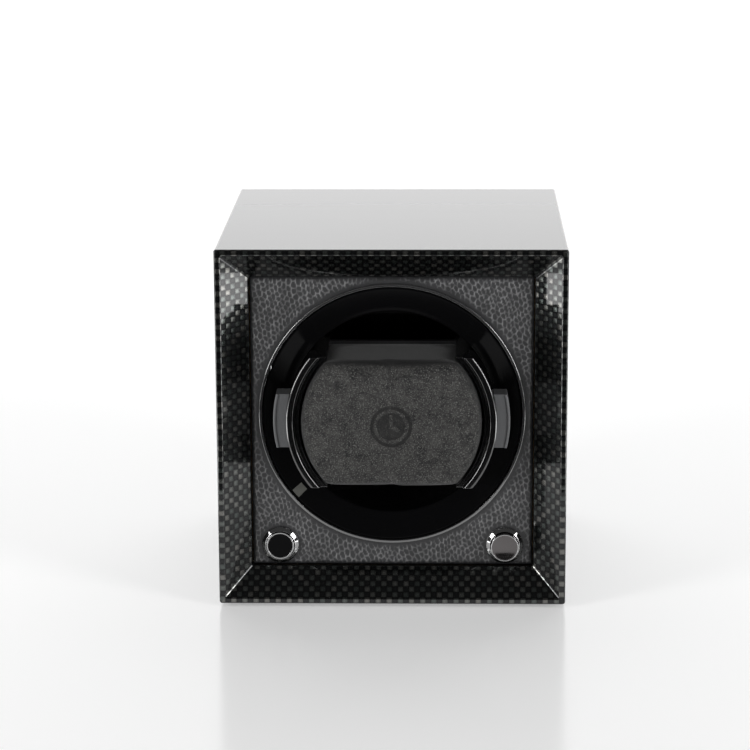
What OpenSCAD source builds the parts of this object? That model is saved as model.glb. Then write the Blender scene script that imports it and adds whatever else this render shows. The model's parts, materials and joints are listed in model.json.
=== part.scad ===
// Single watch winder in a veneered box.
// A lacquered case holds a motor-driven cup with a removable watch cushion.
// Millimetres, +Z up. The front faces -Y. The origin is the middle of the base pad's underside.
// Depths ("_d" places) are counted from the front lip of the case towards the back (+Y).

/* [Case] */
// Outer width of the case
case_w = 120; // [110:1:160]
// Outer depth of the case, front lip to back edge
case_d = 125; // [122:1:170]
// Outer height of the case boards, without the base pad
case_h = 125; // [120:1:170]
// Thickness of the case boards
board_t = 11; // [8:0.2:13]
// Width of the flat lip round the front edge
lip_w = 1.9; // [1:0.1:4]
// Depth of the bevel behind the front lip
bevel_d = 9; // [4:0.5:9]
// Thickness of the felt base pad
pad_t = 1.5; // [1:0.1:4]
// Distance of the base pad's edge from the case's edge
pad_inset = 6; // [3:0.5:15]
// Thickness of the inset back cover
back_t = 5; // [3:0.5:8]
// How far the back cover lies inside the case's back edge
back_inset = 1; // [1:0.5:4]
// Side of the square glue blocks that the back cover screws into
block_w = 10; // [8:0.5:12]
// Length of those glue blocks
block_l = 18; // [10:1:22]

/* [Front panel] */
// Depth of the leather's front face behind the front lip
leather_d = 10; // [9:0.1:12]
// Thickness of the leather facing
leather_t = 1; // [0.6:0.1:2]
// Thickness of the panel board behind the leather
panel_t = 4; // [3:0.5:6]
// Width of the battens glued to the side boards behind the panel
batten_w = 3; // [2:0.2:3.8]
// Depth of those battens
batten_l = 8; // [4:1:20]

/* [Rotor] */
// Height of the rotor's axis above the case's underside
rotor_h = 65.4; // [63:0.1:68]
// Outer radius of the fixed ring's front lip
ring_r = 46.1; // [43:0.1:46.5]
// Radial width of that lip
ring_lip = 1.1; // [0.8:0.1:2]
// Wall of the ring's tube, which passes through the panel
ring_wall = 0.8; // [0.6:0.1:1]
// How far the ring stands proud of the leather
ring_proud = 1; // [0.5:0.1:2]
// Length of the ring's tube behind the leather's front face
ring_l = 7; // [5.5:0.5:9]
// Inner radius of the rotor cup
cup_r = 35.6; // [32:0.1:36]
// Wall of the rotor cup
cup_wall = 1.5; // [1:0.1:2]
// Depth of the cup's floor behind the front lip
cup_floor_d = 57.5; // [50:0.5:57.5]
// Thickness of the cup's floor
cup_floor_t = 2.5; // [2:0.5:4]
// Rise of the dish between its inner and outer edge
dish_rise = 2.8; // [1:0.1:4]

/* [Watch holder] */
// Half height of the side wings, which are cut level at both ends
wing_half_h = 22.9; // [18.5:0.1:24]
// How far the wings stand in front of the front lip
wing_proud = 3; // [1:0.5:6]
// Inner radius of the wings, where the cushion sits
wing_in_r = 31.7; // [29:0.1:32]
// Half height of the cushion
cushion_half_h = 22; // [18:0.5:23]
// How far the cushion stands in front of the front lip
cushion_proud = 7; // [4:0.5:10]
// Length of the cushion, front to back
cushion_l = 37; // [30:1:40]
// Thickness of the cushion's fabric and its lining
cover_t = 1.8; // [1:0.1:3]
// How far the grip tabs stand out from the wings
tab_out = 4.5; // [3:0.1:7]
// Height of the grip tabs
tab_h = 18.8; // [12:0.2:22]

/* [Buttons] */
// Distance of the buttons' axes from the panel opening's side
button_in_x = 9.9; // [9:0.1:14]
// Distance of the buttons' axes from the panel opening's bottom
button_in_z = 7.6; // [7.4:0.1:10]
// Outer radius of the button bezels
bezel_r = 6.55; // [6.2:0.05:7]
// Bore radius of the button bezels
bezel_bore_r = 4.95; // [4.5:0.05:5]
// How far the left cap stands in front of the leather
left_cap_proud = 2.2; // [1.8:0.1:5]
// How far the right cap stands in front of the leather
right_cap_proud = 4; // [1.8:0.1:5]

/* [Drive] */
// Radius of the rotor's shaft
shaft_r = 2.5; // [2:0.1:2.8]
// Radius of the large pulley where the belt runs
big_pulley_r = 24; // [18:0.5:26]
// Radius of the motor's pulley where the belt runs
small_pulley_r = 6; // [4.5:0.5:7]
// Height of the motor's axis above the case's underside
motor_h = 27; // [26.5:0.1:29]
// Radius of the gear motor's case
motor_r = 15.5; // [12:0.5:15.5]
// Thickness of the mechanism plate
plate_t = 3; // [2:0.5:4]
// Outer radius of the ball bearings
bearing_r = 8; // [7:0.5:9]
// Width of the ball bearings
bearing_w = 5; // [4:0.5:6]

/* [Hidden] */
$fn = 72;

// Fits. "fit" is a close fit inside one body, "run" is a turning or sliding fit,
// "gap" keeps loose neighbours apart.
fit = 0.03;
run = 0.1;
gap = 0.3;

// Case
front_y = -case_d / 2;
open_w = case_w - 2 * board_t;
open_h = case_h - 2 * board_t;
mid_z = pad_t + case_h / 2;
open_low_z = pad_t + board_t;
back_seat_d = case_d - back_inset - back_t;
side = [-1, 1];

// Front panel
panel_d = leather_d + leather_t;
panel_back_d = panel_d + panel_t;
rotor_z = pad_t + rotor_h;
ring_in_r = ring_r - ring_lip;
ring_tube_r = ring_in_r + ring_wall;

// Screws
screw_r = 1.25;
head_r = 2.3;
head_t = 1.5;
recess_r = 1.1;
standoff_r = 3;
thread_l = 7;

// Rotor cup
flange_r = ring_in_r - 0.4;
flange_front_d = leather_d - 0.2;
flange_t = 1.8;
dish_in_r = cup_r + 1.6;
dish_in_d = flange_front_d + dish_rise;
dish_out_r = flange_r - 0.5;
dish_slope = dish_rise / (dish_out_r - dish_in_r);
cup_back_d = cup_floor_d + cup_floor_t;
dog_r = 2;
dog_h = 3;
dog_x = 20;
mark_a = 40.2;
mark_half_a = 2.2;
mark_in_r = dish_in_r + 3;
mark_t = 0.6;

// Drive train, from the cup backwards
hub_r = 12;
hub_flange_t = 2.5;
hub_boss_r = 5.5;
hub_l = 7.5;
hub_screw_r = 8.5;
hub_back_d = cup_back_d + hub_l;
pulley_d = hub_back_d + 0.5;
pulley_w = 6;
pulley_flange_t = 1;
pulley_flange_h = 1.2;
pulley_back_d = pulley_d + pulley_w;
plate_d = pulley_back_d + 2;
plate_back_d = plate_d + plate_t;
bearing_gap = 11;
block_r = bearing_r + 3;
block_flange_r = bearing_r + 9;
block_flange_t = 3;
block_screw_r = bearing_r + 6;
block_back_d = plate_back_d + 2 * bearing_w + bearing_gap;
inner_race_r = shaft_r + 1.9;
outer_race_in_r = bearing_r - 1.9;
ball_pitch_r = (shaft_r + bearing_r) / 2;
ball_r = 1.35;
ball_n = 8;
ball_gap = 0.05;
sleeve_r = shaft_r + 1.3;
clip_t = 0.7;
shaft_back_d = block_back_d + 2.5;
belt_w = 3.7;
belt_t = 1;
belt_gap = 0.08;
belt_steps = 48;

// Motor
motor_z = pad_t + motor_h;
motor_l = 22;
motor_boss_r = 4;
motor_shaft_r = 1.5;
motor_shaft_in = 8.5;
can_r = 10;
can_l = 13;
motor_screw_x = 10;
motor_back_d = plate_back_d + motor_l;

// Mechanism plate
standoff_x = open_w / 2 - 8;
standoff_low_z = rotor_z - 31.4;
standoff_high_z = rotor_z + 39.6;
standoff_zs = [standoff_low_z, standoff_high_z];
plate_edge = 5.5;
plate_foot_w = 40;
plate_low_z = open_low_z + 2;

// Control board
pcb_w = 56;
pcb_h = 24;
pcb_t = 1.6;
pcb_z = rotor_z + block_flange_r + 2 + pcb_h / 2;
pcb_lift = 5;
pcb_d = plate_back_d + pcb_lift;
pcb_back_d = pcb_d + pcb_t;
pcb_hole_x = pcb_w / 2 - 3;
pcb_hole_z = pcb_h / 2 - 3;
connector_xs = [-18, -6, 6, 18];
connector_size = [8, 6, 5.5];
connector_z = pcb_z - 7.5;
connector_back_d = pcb_back_d + connector_size[1];

// Power jack
jack_x = open_w / 2 - 21;
jack_z = open_low_z + 17;
jack_r = 5.5;
jack_bore_r = 2.9;
jack_bore_l = 10;
jack_pin_r = 1;
jack_l = 16;
jack_flange_r = 7;
cover_back_d = back_seat_d + back_t;

// Buttons
button_x = open_w / 2 - button_in_x;
button_z = open_low_z + button_in_z;
bezel_barrel_r = bezel_bore_r + 0.65;
bezel_l = 11;
bezel_back_d = leather_d + bezel_l;
cap_back_d = leather_d + 2.5;
cap_r = bezel_bore_r - run;
stem_r = 1.6;
stem_back_d = bezel_back_d + 4.5;
switch_w = 10;
switch_l = 9;
switch_back_d = bezel_back_d + switch_l;
nut_r = 7.2;
nut_t = 2.5;
spring_r = 3.2;
spring_wire_r = 0.3;
spring_turns = 5;

// Watch holder
holder_r = cup_r - 0.4;
bead_r = holder_r + 0.85;
bead_w = 2.6;
bead_h = 1.5;
wing_wall = 2;
base_t = 5;
base_back_d = cup_floor_d - gap;
base_d = base_back_d - base_t;
cushion_r = wing_in_r - gap;
cushion_round = 3;
cushion_back_d = cushion_l - cushion_proud;
back_plate_t = 2.5;
cover_back_edge_d = cushion_back_d - back_plate_t - 0.1;
holder_pin_r = 1;
tab_d = 0.3;
tab_back_d = 9;
tab_lip = 0.9;

// Wires: chosen points [x, depth, height above the case's underside] between ends that
// touch the switches, motor and jack in front and the connectors on the control board
wire_r = 1;
wire_off = wire_r + fit;
switch_wire_d = switch_back_d + wire_off;
wire_end_d = connector_back_d + wire_off;
wire_end_z = connector_z - pad_t;
button_wire_z = button_z - pad_t;
left_wire = [[-button_x, switch_wire_d, button_wire_z], [-38, 50, 19], [-35, 78, 20], [-34, 90, 26],
             [-34, 91, 72], [-26, 96, 84], [connector_xs[0], wire_end_d, wire_end_z]];
right_wire = [[button_x, switch_wire_d, button_wire_z], [38, 50, 19], [35, 78, 20], [34, 90, 26],
              [34, 91, 72], [26, 96, 84], [connector_xs[3], wire_end_d, wire_end_z]];
motor_wire = [[-5, motor_back_d + can_l + wire_off, motor_z - pad_t + 5], [-14, 115, 38],
              [-20, 108, 52], [-16, 98, 78], [connector_xs[1], wire_end_d, wire_end_z]];
power_wire = [[jack_x, cover_back_d - jack_l - wire_off, jack_z - pad_t], [27, 101, 34],
              [24, 98, 56], [16, 98, 78], [connector_xs[2], wire_end_d, wire_end_z]];

// ---------- helpers ----------

// Places an axis along +Y at height z and offset x, starting at the front lip's plane
module axis_at(x, z) translate([x, front_y, z]) rotate([-90, 0, 0]) children();

// Lathe-turned piece: the child is an outline of [radius, depth]
module turned(x, z) axis_at(x, z) rotate_extrude() children();

// Round bar or bore between two depths
module rod(x, z, r, d0, d1) axis_at(x, z) translate([0, 0, d0]) cylinder(r = r, h = d1 - d0);

// Flat sheet between two depths: the child is an outline of [x, z]
module sheet(d0, d1) translate([0, front_y + d1, 0]) rotate([90, 0, 0]) linear_extrude(d1 - d0) children();

// Block given by its middle in x and z and its two depths
module block(x, z, w, h, d0, d1)
    translate([x - w / 2, front_y + d0, z - h / 2]) cube([w, d1 - d0, h]);

// Rectangle with round corners
module rounded(w, h, r) {
    square([w - 2 * r, h], center = true);
    square([w, h - 2 * r], center = true);
    for (sx = side, sy = side)
        translate([sx * (w / 2 - r), sy * (h / 2 - r)]) circle(r);
}

// Pan-head screw whose head faces the back. seat is the depth under the head.
module rear_screw(x, z, seat, length, grow = 0) {
    difference() {
        turned(x, z) polygon([
            [0, seat - length - grow], [screw_r + grow, seat - length - grow], [screw_r + grow, seat],
            [head_r, seat], [head_r, seat + head_t * 0.6], [head_r * 0.7, seat + head_t], [0, seat + head_t]
        ]);
        if (grow == 0)
            axis_at(x, z) translate([0, 0, seat + head_t * 0.4]) cylinder(r = recess_r, h = head_t, $fn = 6);
    }
}

// Countersunk screw. face is the depth of the flat head, dir is +1 for a tip towards the back.
module flat_screw(x, z, face, length, dir, grow = 0) {
    difference() {
        turned(x, z) polygon([
            [0, face], [head_r + grow, face], [screw_r + grow, face + dir * head_t],
            [screw_r + grow, face + dir * (length + grow)], [0, face + dir * (length + grow)]
        ]);
        if (grow == 0)
            axis_at(x, z) translate([0, 0, face]) cylinder(r = recess_r, h = head_t, center = true, $fn = 6);
    }
}

// One stretch after another of a round wire through chosen points
module wire(points) {
    for (i = [0 : len(points) - 2])
        hull() {
            for (p = [points[i], points[i + 1]])
                translate([p[0], front_y + p[1], pad_t + p[2]]) sphere(r = wire_r, $fn = 12);
        }
}

// ---------- case ----------

// Board with its outer face on z = 0, mitred ends and a bevelled front edge
module case_board(length) {
    difference() {
        rotate([90, 0, 90]) linear_extrude(length, center = true)
            polygon([[0, 0], [case_d, 0], [case_d, board_t], [bevel_d, board_t], [0, lip_w]]);
        for (sx = side)
            translate([sx * length / 2, -1, 0]) rotate([0, -sx * 45, 0])
                translate([sx > 0 ? 0 : -3 * board_t, 0, -4 * board_t])
                    cube([3 * board_t, case_d + 2, 8 * board_t]);
    }
}

module top_board()
    color("#1b1c1d") translate([0, front_y, pad_t + case_h]) rotate([0, 180, 0]) case_board(case_w);

module bottom_board()
    color("#1b1c1d") translate([0, front_y, pad_t]) case_board(case_w);

module left_board()
    color("#1b1c1d") translate([-case_w / 2, front_y, mid_z]) rotate([0, 90, 0]) case_board(case_h);

module right_board()
    color("#1b1c1d") translate([case_w / 2, front_y, mid_z]) rotate([0, -90, 0]) case_board(case_h);

// Middle of the corner blocks, where the back cover's screws go
block_x = open_w / 2 - block_w / 2;
block_zs = [open_low_z + block_w / 2, open_low_z + open_h - block_w / 2];

module corner_blocks() color("#c9a66b") {
    difference() {
        for (sx = side, z = block_zs)
            block(sx * block_x, z, block_w, block_w, back_seat_d - block_l, back_seat_d);
        back_screws(fit);
    }
}

module panel_battens() color("#c9a66b") {
    for (sx = side)
        block(sx * (open_w - batten_w) / 2, mid_z, batten_w, open_h, panel_back_d, panel_back_d + batten_l);
}

module base_pad()
    color("#151515") linear_extrude(pad_t)
        rounded(case_w - 2 * pad_inset, case_d - 2 * pad_inset, 4);

// ---------- front panel ----------

module panel_outline(ring_hole_r, button_hole_r) {
    difference() {
        translate([0, mid_z]) square([open_w - 2 * gap, open_h - 2 * gap], center = true);
        translate([0, rotor_z]) circle(ring_hole_r);
        for (sx = side)
            translate([sx * button_x, button_z]) circle(button_hole_r);
    }
}

module front_panel() color("#8f7350") {
    difference() {
        sheet(panel_d, panel_back_d) panel_outline(ring_tube_r + fit, bezel_barrel_r + fit);
        front_screws(fit);
    }
}

module leather_facing()
    color("#2b2b2c") sheet(leather_d, panel_d) panel_outline(ring_tube_r + fit, bezel_barrel_r + fit);

module bezel_ring() color("#d8d8da") {
    front_d = leather_d - ring_proud;
    edge = ring_lip * 0.27;
    turned(0, rotor_z) polygon([
        [ring_in_r, front_d + edge], [ring_in_r + edge, front_d], [ring_r - edge, front_d],
        [ring_r, front_d + edge], [ring_r, leather_d], [ring_tube_r, leather_d],
        [ring_tube_r, leather_d + ring_l], [ring_in_r, leather_d + ring_l]
    ]);
}

module front_screws(grow) {
    for (sx = side, z = standoff_zs)
        flat_screw(sx * standoff_x, z, panel_d, panel_t + thread_l, 1, grow);
}

module panel_screws() color("silver") front_screws(0);

// ---------- mechanism plate ----------

module plate_standoffs() color("#b9bcc0") {
    difference() {
        for (sx = side, z = standoff_zs)
            rod(sx * standoff_x, z, standoff_r, panel_back_d, plate_d);
        front_screws(fit);
        standoff_screws(fit);
    }
}

module standoff_screws(grow) {
    for (sx = side, z = standoff_zs)
        rear_screw(sx * standoff_x, z, plate_back_d, plate_t + thread_l, grow);
}

module plate_screws() color("silver") standoff_screws(0);

module mechanism_plate() color("#a9adb2") {
    top_z = standoff_high_z + plate_edge;
    shoulder_z = standoff_low_z - plate_edge;
    difference() {
        sheet(plate_d, plate_back_d) difference() {
            union() {
                translate([0, (top_z + shoulder_z) / 2])
                    square([2 * (standoff_x + plate_edge - 1), top_z - shoulder_z], center = true);
                translate([-plate_foot_w / 2, plate_low_z])
                    square([plate_foot_w, shoulder_z + 1 - plate_low_z]);
            }
            translate([0, rotor_z]) circle(sleeve_r + 1.2);
            translate([0, motor_z]) circle(motor_boss_r + fit);
        }
        standoff_screws(fit);
        block_screws(fit);
        motor_case_screws(fit);
        pcb_screws(fit);
    }
}

module bearing_block() color("#c3c6ca") {
    difference() {
        turned(0, rotor_z) polygon([
            [bearing_r, plate_back_d], [block_flange_r, plate_back_d],
            [block_flange_r, plate_back_d + block_flange_t], [block_r, plate_back_d + block_flange_t],
            [block_r, block_back_d], [bearing_r, block_back_d],
            [bearing_r, block_back_d - bearing_w], [outer_race_in_r + 0.4, block_back_d - bearing_w],
            [outer_race_in_r + 0.4, plate_back_d + bearing_w], [bearing_r, plate_back_d + bearing_w]
        ]);
        block_screws(fit);
    }
}

module block_screws(grow) {
    for (a = [90, 210, 330])
        rear_screw(block_screw_r * cos(a), rotor_z + block_screw_r * sin(a),
            plate_back_d + block_flange_t, block_flange_t + plate_t - 0.5, grow);
}

module bearing_block_screws() color("silver") block_screws(0);

// ---------- bearings ----------

bearing_ds = [plate_back_d, block_back_d - bearing_w];

// Ring of a ball bearing between two radii, with the balls' groove taken out
module race(r0, r1, d) {
    turned(0, rotor_z) difference() {
        translate([r0, d]) square([r1 - r0, bearing_w]);
        translate([ball_pitch_r, d + bearing_w / 2]) circle(ball_r + ball_gap);
    }
}

module bearing_outer_races() color("#d5d7da")
    for (d = bearing_ds) race(outer_race_in_r, bearing_r - fit, d);

module bearing_inner_races() color("#d5d7da")
    for (d = bearing_ds) race(shaft_r + fit, inner_race_r, d);

module bearing_balls() color("#eceef0")
    for (d = bearing_ds, i = [0 : ball_n - 1])
        axis_at(0, rotor_z) rotate([0, 0, i * 360 / ball_n])
            translate([ball_pitch_r, 0, d + bearing_w / 2]) sphere(r = ball_r);

// ---------- rotor ----------

function dish_at(r) = dish_in_d - (r - dish_in_r) * dish_slope;

// Thin curved bar that lies in the dish and points at the axis
module mark_shape(grow) {
    r0 = mark_in_r - grow;
    r1 = dish_out_r + grow;
    axis_at(0, rotor_z) rotate([0, 0, 180 - mark_a - mark_half_a])
        rotate_extrude(angle = 2 * mark_half_a) polygon([
            [r0, dish_at(r0) - 0.1 - grow], [r1, dish_at(r1) - 0.1 - grow],
            [r1, dish_at(r1) + mark_t + grow], [r0, dish_at(r0) + mark_t + grow]
        ]);
}

module rotor_cup() color("#0c0c0d") {
    wall_r = cup_r + cup_wall;
    difference() {
        turned(0, rotor_z) polygon([
            [flange_r, flange_front_d], [flange_r, flange_front_d + flange_t],
            [wall_r, dish_in_d + flange_t + 0.4], [wall_r, cup_back_d], [shaft_r + fit, cup_back_d],
            [shaft_r + fit, cup_floor_d], [cup_r, cup_floor_d], [cup_r, dish_in_d + 1],
            [cup_r + 0.5, dish_in_d + 0.3], [dish_in_r, dish_in_d], [dish_out_r, flange_front_d]
        ]);
        hub_bolts(fit);
        mark_shape(fit);
    }
    for (sx = side)
        rod(sx * dog_x, rotor_z, dog_r, cup_floor_d - dog_h, cup_floor_d + cup_floor_t / 2);
}

module index_mark() color("#8d8f88") mark_shape(0);

module hub_bolts(grow) {
    for (a = [30, 150, 270])
        rear_screw(hub_screw_r * cos(a), rotor_z + hub_screw_r * sin(a),
            cup_back_d + hub_flange_t, hub_flange_t + cup_floor_t - 0.7, grow);
}

module hub_screws() color("silver") hub_bolts(0);

module rotor_hub() color("#c8a44a") {
    difference() {
        turned(0, rotor_z) polygon([
            [shaft_r + fit, cup_back_d], [hub_r, cup_back_d], [hub_r, cup_back_d + hub_flange_t],
            [hub_boss_r, cup_back_d + hub_flange_t], [hub_boss_r, hub_back_d], [shaft_r + fit, hub_back_d]
        ]);
        hub_bolts(fit);
    }
}

module rotor_shaft() color("#d0d2d6") {
    clip_d = block_back_d + 0.2;
    groove_r = shaft_r - 0.4;
    turned(0, rotor_z) polygon([
        [0, cup_floor_d + 0.2], [shaft_r, cup_floor_d + 0.2], [shaft_r, clip_d], [groove_r, clip_d],
        [groove_r, clip_d + clip_t], [shaft_r, clip_d + clip_t], [shaft_r, shaft_back_d], [0, shaft_back_d]
    ]);
}

module rotor_pulley() color("#e2e0d8") {
    bore_r = shaft_r + fit;
    boss_r = shaft_r + 3.5;
    rim_in_r = big_pulley_r - 3;
    rim_r = big_pulley_r + pulley_flange_h;
    web_d = pulley_d + pulley_w / 3;
    web_back_d = pulley_back_d - pulley_w / 3;
    turned(0, rotor_z) polygon([
        [bore_r, pulley_d - 0.4], [boss_r, pulley_d - 0.4], [boss_r, web_d], [rim_in_r, web_d],
        [rim_in_r, pulley_d], [rim_r, pulley_d], [rim_r, pulley_d + pulley_flange_t],
        [big_pulley_r, pulley_d + pulley_flange_t], [big_pulley_r, pulley_back_d - pulley_flange_t],
        [rim_r, pulley_back_d - pulley_flange_t], [rim_r, pulley_back_d], [rim_in_r, pulley_back_d],
        [rim_in_r, web_back_d], [boss_r, web_back_d], [boss_r, pulley_back_d + 0.3],
        [bore_r, pulley_back_d + 0.3]
    ]);
}

// Sleeve from the pulley to the front bearing, and sleeve between the bearings
module spacer_sleeves() color("#c3c6ca") {
    for (span = [[pulley_back_d + 0.4, bearing_ds[0]], [bearing_ds[0] + bearing_w, bearing_ds[1]]])
        turned(0, rotor_z) translate([shaft_r + fit, span[0]])
            square([sleeve_r - shaft_r - fit, span[1] - span[0]]);
}

module retaining_clip() color("#707276") {
    clip_d = block_back_d + 0.2;
    groove_r = shaft_r - 0.4;
    difference() {
        turned(0, rotor_z) translate([groove_r + fit, clip_d + fit])
            square([shaft_r + 2 - groove_r, clip_t - 2 * fit]);
        block(0, rotor_z - shaft_r - 1.5, groove_r * 1.6, 2 * shaft_r, clip_d - 1, clip_d + clip_t + 1);
    }
}

// ---------- belt and motor ----------

// Angle at which the straight runs leave the pulleys, from the line between the axes
belt_a = acos((big_pulley_r - small_pulley_r) / (rotor_z - motor_z));

// Closed loop at a distance out from both pulleys, drawn round the large one first
function belt_loop(out) = concat(
    [for (i = [0 : belt_steps])
        let (a = -90 + belt_a + i * (360 - 2 * belt_a) / belt_steps)
        [(big_pulley_r + out) * cos(a), rotor_z + (big_pulley_r + out) * sin(a)]],
    [for (i = [0 : belt_steps])
        let (a = -90 - belt_a + i * 2 * belt_a / belt_steps)
        [(small_pulley_r + out) * cos(a), motor_z + (small_pulley_r + out) * sin(a)]]
);

module drive_belt() color("#1a1a1a") {
    mid_d = pulley_d + pulley_w / 2;
    sheet(mid_d - belt_w / 2, mid_d + belt_w / 2) difference() {
        polygon(belt_loop(belt_gap + belt_t));
        polygon(belt_loop(belt_gap));
    }
}

module motor_case_screws(grow) {
    for (sx = side)
        difference() {
            turned(sx * motor_screw_x, motor_z) polygon([
                [0, plate_d - head_t], [head_r * 0.7, plate_d - head_t], [head_r, plate_d - head_t * 0.6],
                [head_r, plate_d], [screw_r + grow, plate_d], [screw_r + grow, plate_back_d + 5 + grow],
                [0, plate_back_d + 5 + grow]
            ]);
            if (grow == 0)
                axis_at(sx * motor_screw_x, motor_z) translate([0, 0, plate_d - head_t * 1.4])
                    cylinder(r = recess_r, h = head_t, $fn = 6);
        }
}

module motor_screws() color("silver") motor_case_screws(0);

module gear_motor_case() color("#b4b7bb") {
    difference() {
        union() {
            rod(0, motor_z, motor_r, plate_back_d, motor_back_d);
            rod(0, motor_z, motor_boss_r, plate_d + 0.2, plate_back_d + 1);
        }
        rod(0, motor_z, motor_shaft_r + run / 2, plate_d - 1, plate_back_d + motor_shaft_in + 0.5);
        motor_case_screws(fit);
    }
}

module motor_can() color("#8f9398") {
    rod(0, motor_z, can_r, motor_back_d, motor_back_d + can_l);
    rod(0, motor_z, can_r / 3, motor_back_d + can_l - 1, motor_back_d + can_l + 1.5);
}

module motor_shaft() color("#d0d2d6")
    rod(0, motor_z, motor_shaft_r, pulley_d - 1, plate_back_d + motor_shaft_in);

module motor_pulley() color("#e2e0d8") {
    bore_r = motor_shaft_r + fit;
    rim_r = small_pulley_r + pulley_flange_h;
    turned(0, motor_z) polygon([
        [bore_r, pulley_d], [rim_r, pulley_d], [rim_r, pulley_d + pulley_flange_t],
        [small_pulley_r, pulley_d + pulley_flange_t], [small_pulley_r, pulley_back_d - pulley_flange_t],
        [rim_r, pulley_back_d - pulley_flange_t], [rim_r, pulley_back_d], [bore_r, pulley_back_d]
    ]);
}

// ---------- control board ----------

module pcb_screws(grow) {
    for (sx = side, sz = side)
        rear_screw(sx * pcb_hole_x, pcb_z + sz * pcb_hole_z, pcb_back_d, pcb_t + pcb_lift + plate_t - 0.5, grow);
}

module control_board() color("#1f5a36") {
    difference() {
        block(0, pcb_z, pcb_w, pcb_h, pcb_d, pcb_back_d);
        pcb_screws(fit);
    }
}

module board_spacers() color("#e8e4d6") {
    difference() {
        for (sx = side, sz = side)
            rod(sx * pcb_hole_x, pcb_z + sz * pcb_hole_z, 2.4, plate_back_d, pcb_d);
        pcb_screws(fit);
    }
}

module board_screws() color("silver") pcb_screws(0);

module board_components() color("#18181a") {
    block(-6, pcb_z + 4, 9, 6, pcb_back_d, pcb_back_d + 1.6);
    block(9, pcb_z + 5, 5, 4, pcb_back_d, pcb_back_d + 1.4);
    block(-17, pcb_z + 4, 7, 3, pcb_back_d, pcb_back_d + 3);
    rod(18, pcb_z + 4, 3, pcb_back_d, pcb_back_d + 7);
}

module board_connectors() color("#efeee8") {
    for (x = connector_xs)
        block(x, connector_z, connector_size[0], connector_size[2], pcb_back_d, connector_back_d);
}

module button_wires() color("#b02a24") {
    wire(left_wire);
    wire(right_wire);
}

module motor_wires() color("#2a2a2c") wire(motor_wire);

module power_wires() color("#c23a30") wire(power_wire);

// ---------- back ----------

module back_screws(grow) {
    for (sx = side, z = block_zs)
        flat_screw(sx * block_x, z, cover_back_d, back_t + thread_l, -1, grow);
}

module back_cover_screws() color("#3a3b3d") back_screws(0);

module back_cover() color("#19191a") {
    vent_w = 34;
    vent_h = 2;
    difference() {
        sheet(back_seat_d, cover_back_d) difference() {
            translate([0, mid_z]) square([open_w - 2 * gap, open_h - 2 * gap], center = true);
            translate([jack_x, jack_z]) circle(jack_r + fit);
            for (i = [-2 : 2])
                translate([0, rotor_z + 18 + i * 2.5 * vent_h]) square([vent_w, vent_h], center = true);
        }
        back_screws(fit);
    }
}

module power_jack() color("#101011") {
    difference() {
        turned(jack_x, jack_z) polygon([
            [0, cover_back_d - jack_l], [jack_r, cover_back_d - jack_l], [jack_r, cover_back_d],
            [jack_flange_r, cover_back_d], [jack_flange_r, cover_back_d + 1], [jack_bore_r, cover_back_d + 1],
            [jack_bore_r, cover_back_d + 1 - jack_bore_l], [0, cover_back_d + 1 - jack_bore_l]
        ]);
        rod(jack_x, jack_z, jack_pin_r + fit, cover_back_d - jack_bore_l - 3, cover_back_d);
    }
}

module power_jack_pin() color("#d0d2d6")
    rod(jack_x, jack_z, jack_pin_r, cover_back_d - jack_bore_l - 2.9, cover_back_d - 0.5);

module power_jack_nut() color("#b9bcc0") {
    difference() {
        axis_at(jack_x, jack_z) translate([0, 0, back_seat_d - 3]) cylinder(r = 8, h = 3, $fn = 6);
        rod(jack_x, jack_z, jack_r + fit, back_seat_d - 4, back_seat_d + 1);
    }
}

// ---------- buttons ----------

module button_bezel(x) {
    turned(x, button_z) polygon([
        [bezel_bore_r, leather_d - 1.3], [bezel_bore_r + 0.35, leather_d - 1.7],
        [bezel_r - 0.4, leather_d - 1], [bezel_r, leather_d - 0.4], [bezel_r, leather_d],
        [bezel_barrel_r, leather_d], [bezel_barrel_r, bezel_back_d], [bezel_bore_r, bezel_back_d]
    ]);
}

module left_button_bezel() color("#e4e6e8") button_bezel(-button_x);

module right_button_bezel() color("#e4e6e8") button_bezel(button_x);

module button_nuts() color("#b9bcc0") {
    for (sx = side)
        difference() {
            axis_at(sx * button_x, button_z) translate([0, 0, panel_back_d]) rotate([0, 0, 30])
                cylinder(r = nut_r, h = nut_t, $fn = 6);
            rod(sx * button_x, button_z, bezel_barrel_r + fit, panel_back_d - 1, panel_back_d + nut_t + 1);
        }
}

module button_switches() color("#26272a") {
    for (sx = side)
        difference() {
            block(sx * button_x, button_z, switch_w, switch_w, bezel_back_d, switch_back_d);
            rod(sx * button_x, button_z, stem_r + run, bezel_back_d - 1, stem_back_d + 2.5);
        }
}

// Round wire wound along a helix of its own axis, from depth d0 to d1
module button_spring(x, d0, d1) {
    sides = 8;
    steps = 16 * spring_turns;
    rings = [for (i = [0 : steps], k = [0 : sides - 1])
        let (turn = i * 360 / 16, b = k * 360 / sides, r = spring_r + spring_wire_r * cos(b))
        [r * cos(turn), r * sin(turn), d0 + spring_wire_r + (d1 - d0 - 2 * spring_wire_r) * i / steps
            + spring_wire_r * sin(b)]];
    skin = [for (i = [0 : steps - 1], k = [0 : sides - 1])
        let (a = i * sides, n = (k + 1) % sides)
        [a + k, a + sides + k, a + sides + n, a + n]];
    ends = [[for (k = [0 : sides - 1]) k], [for (k = [sides - 1 : -1 : 0]) steps * sides + k]];
    axis_at(x, button_z) polyhedron(points = rings, faces = concat(skin, ends));
}

module left_button_spring() color("#cfd1d4") button_spring(-button_x, cap_back_d, bezel_back_d);

module right_button_spring() color("#cfd1d4") button_spring(button_x, cap_back_d, bezel_back_d);

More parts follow.
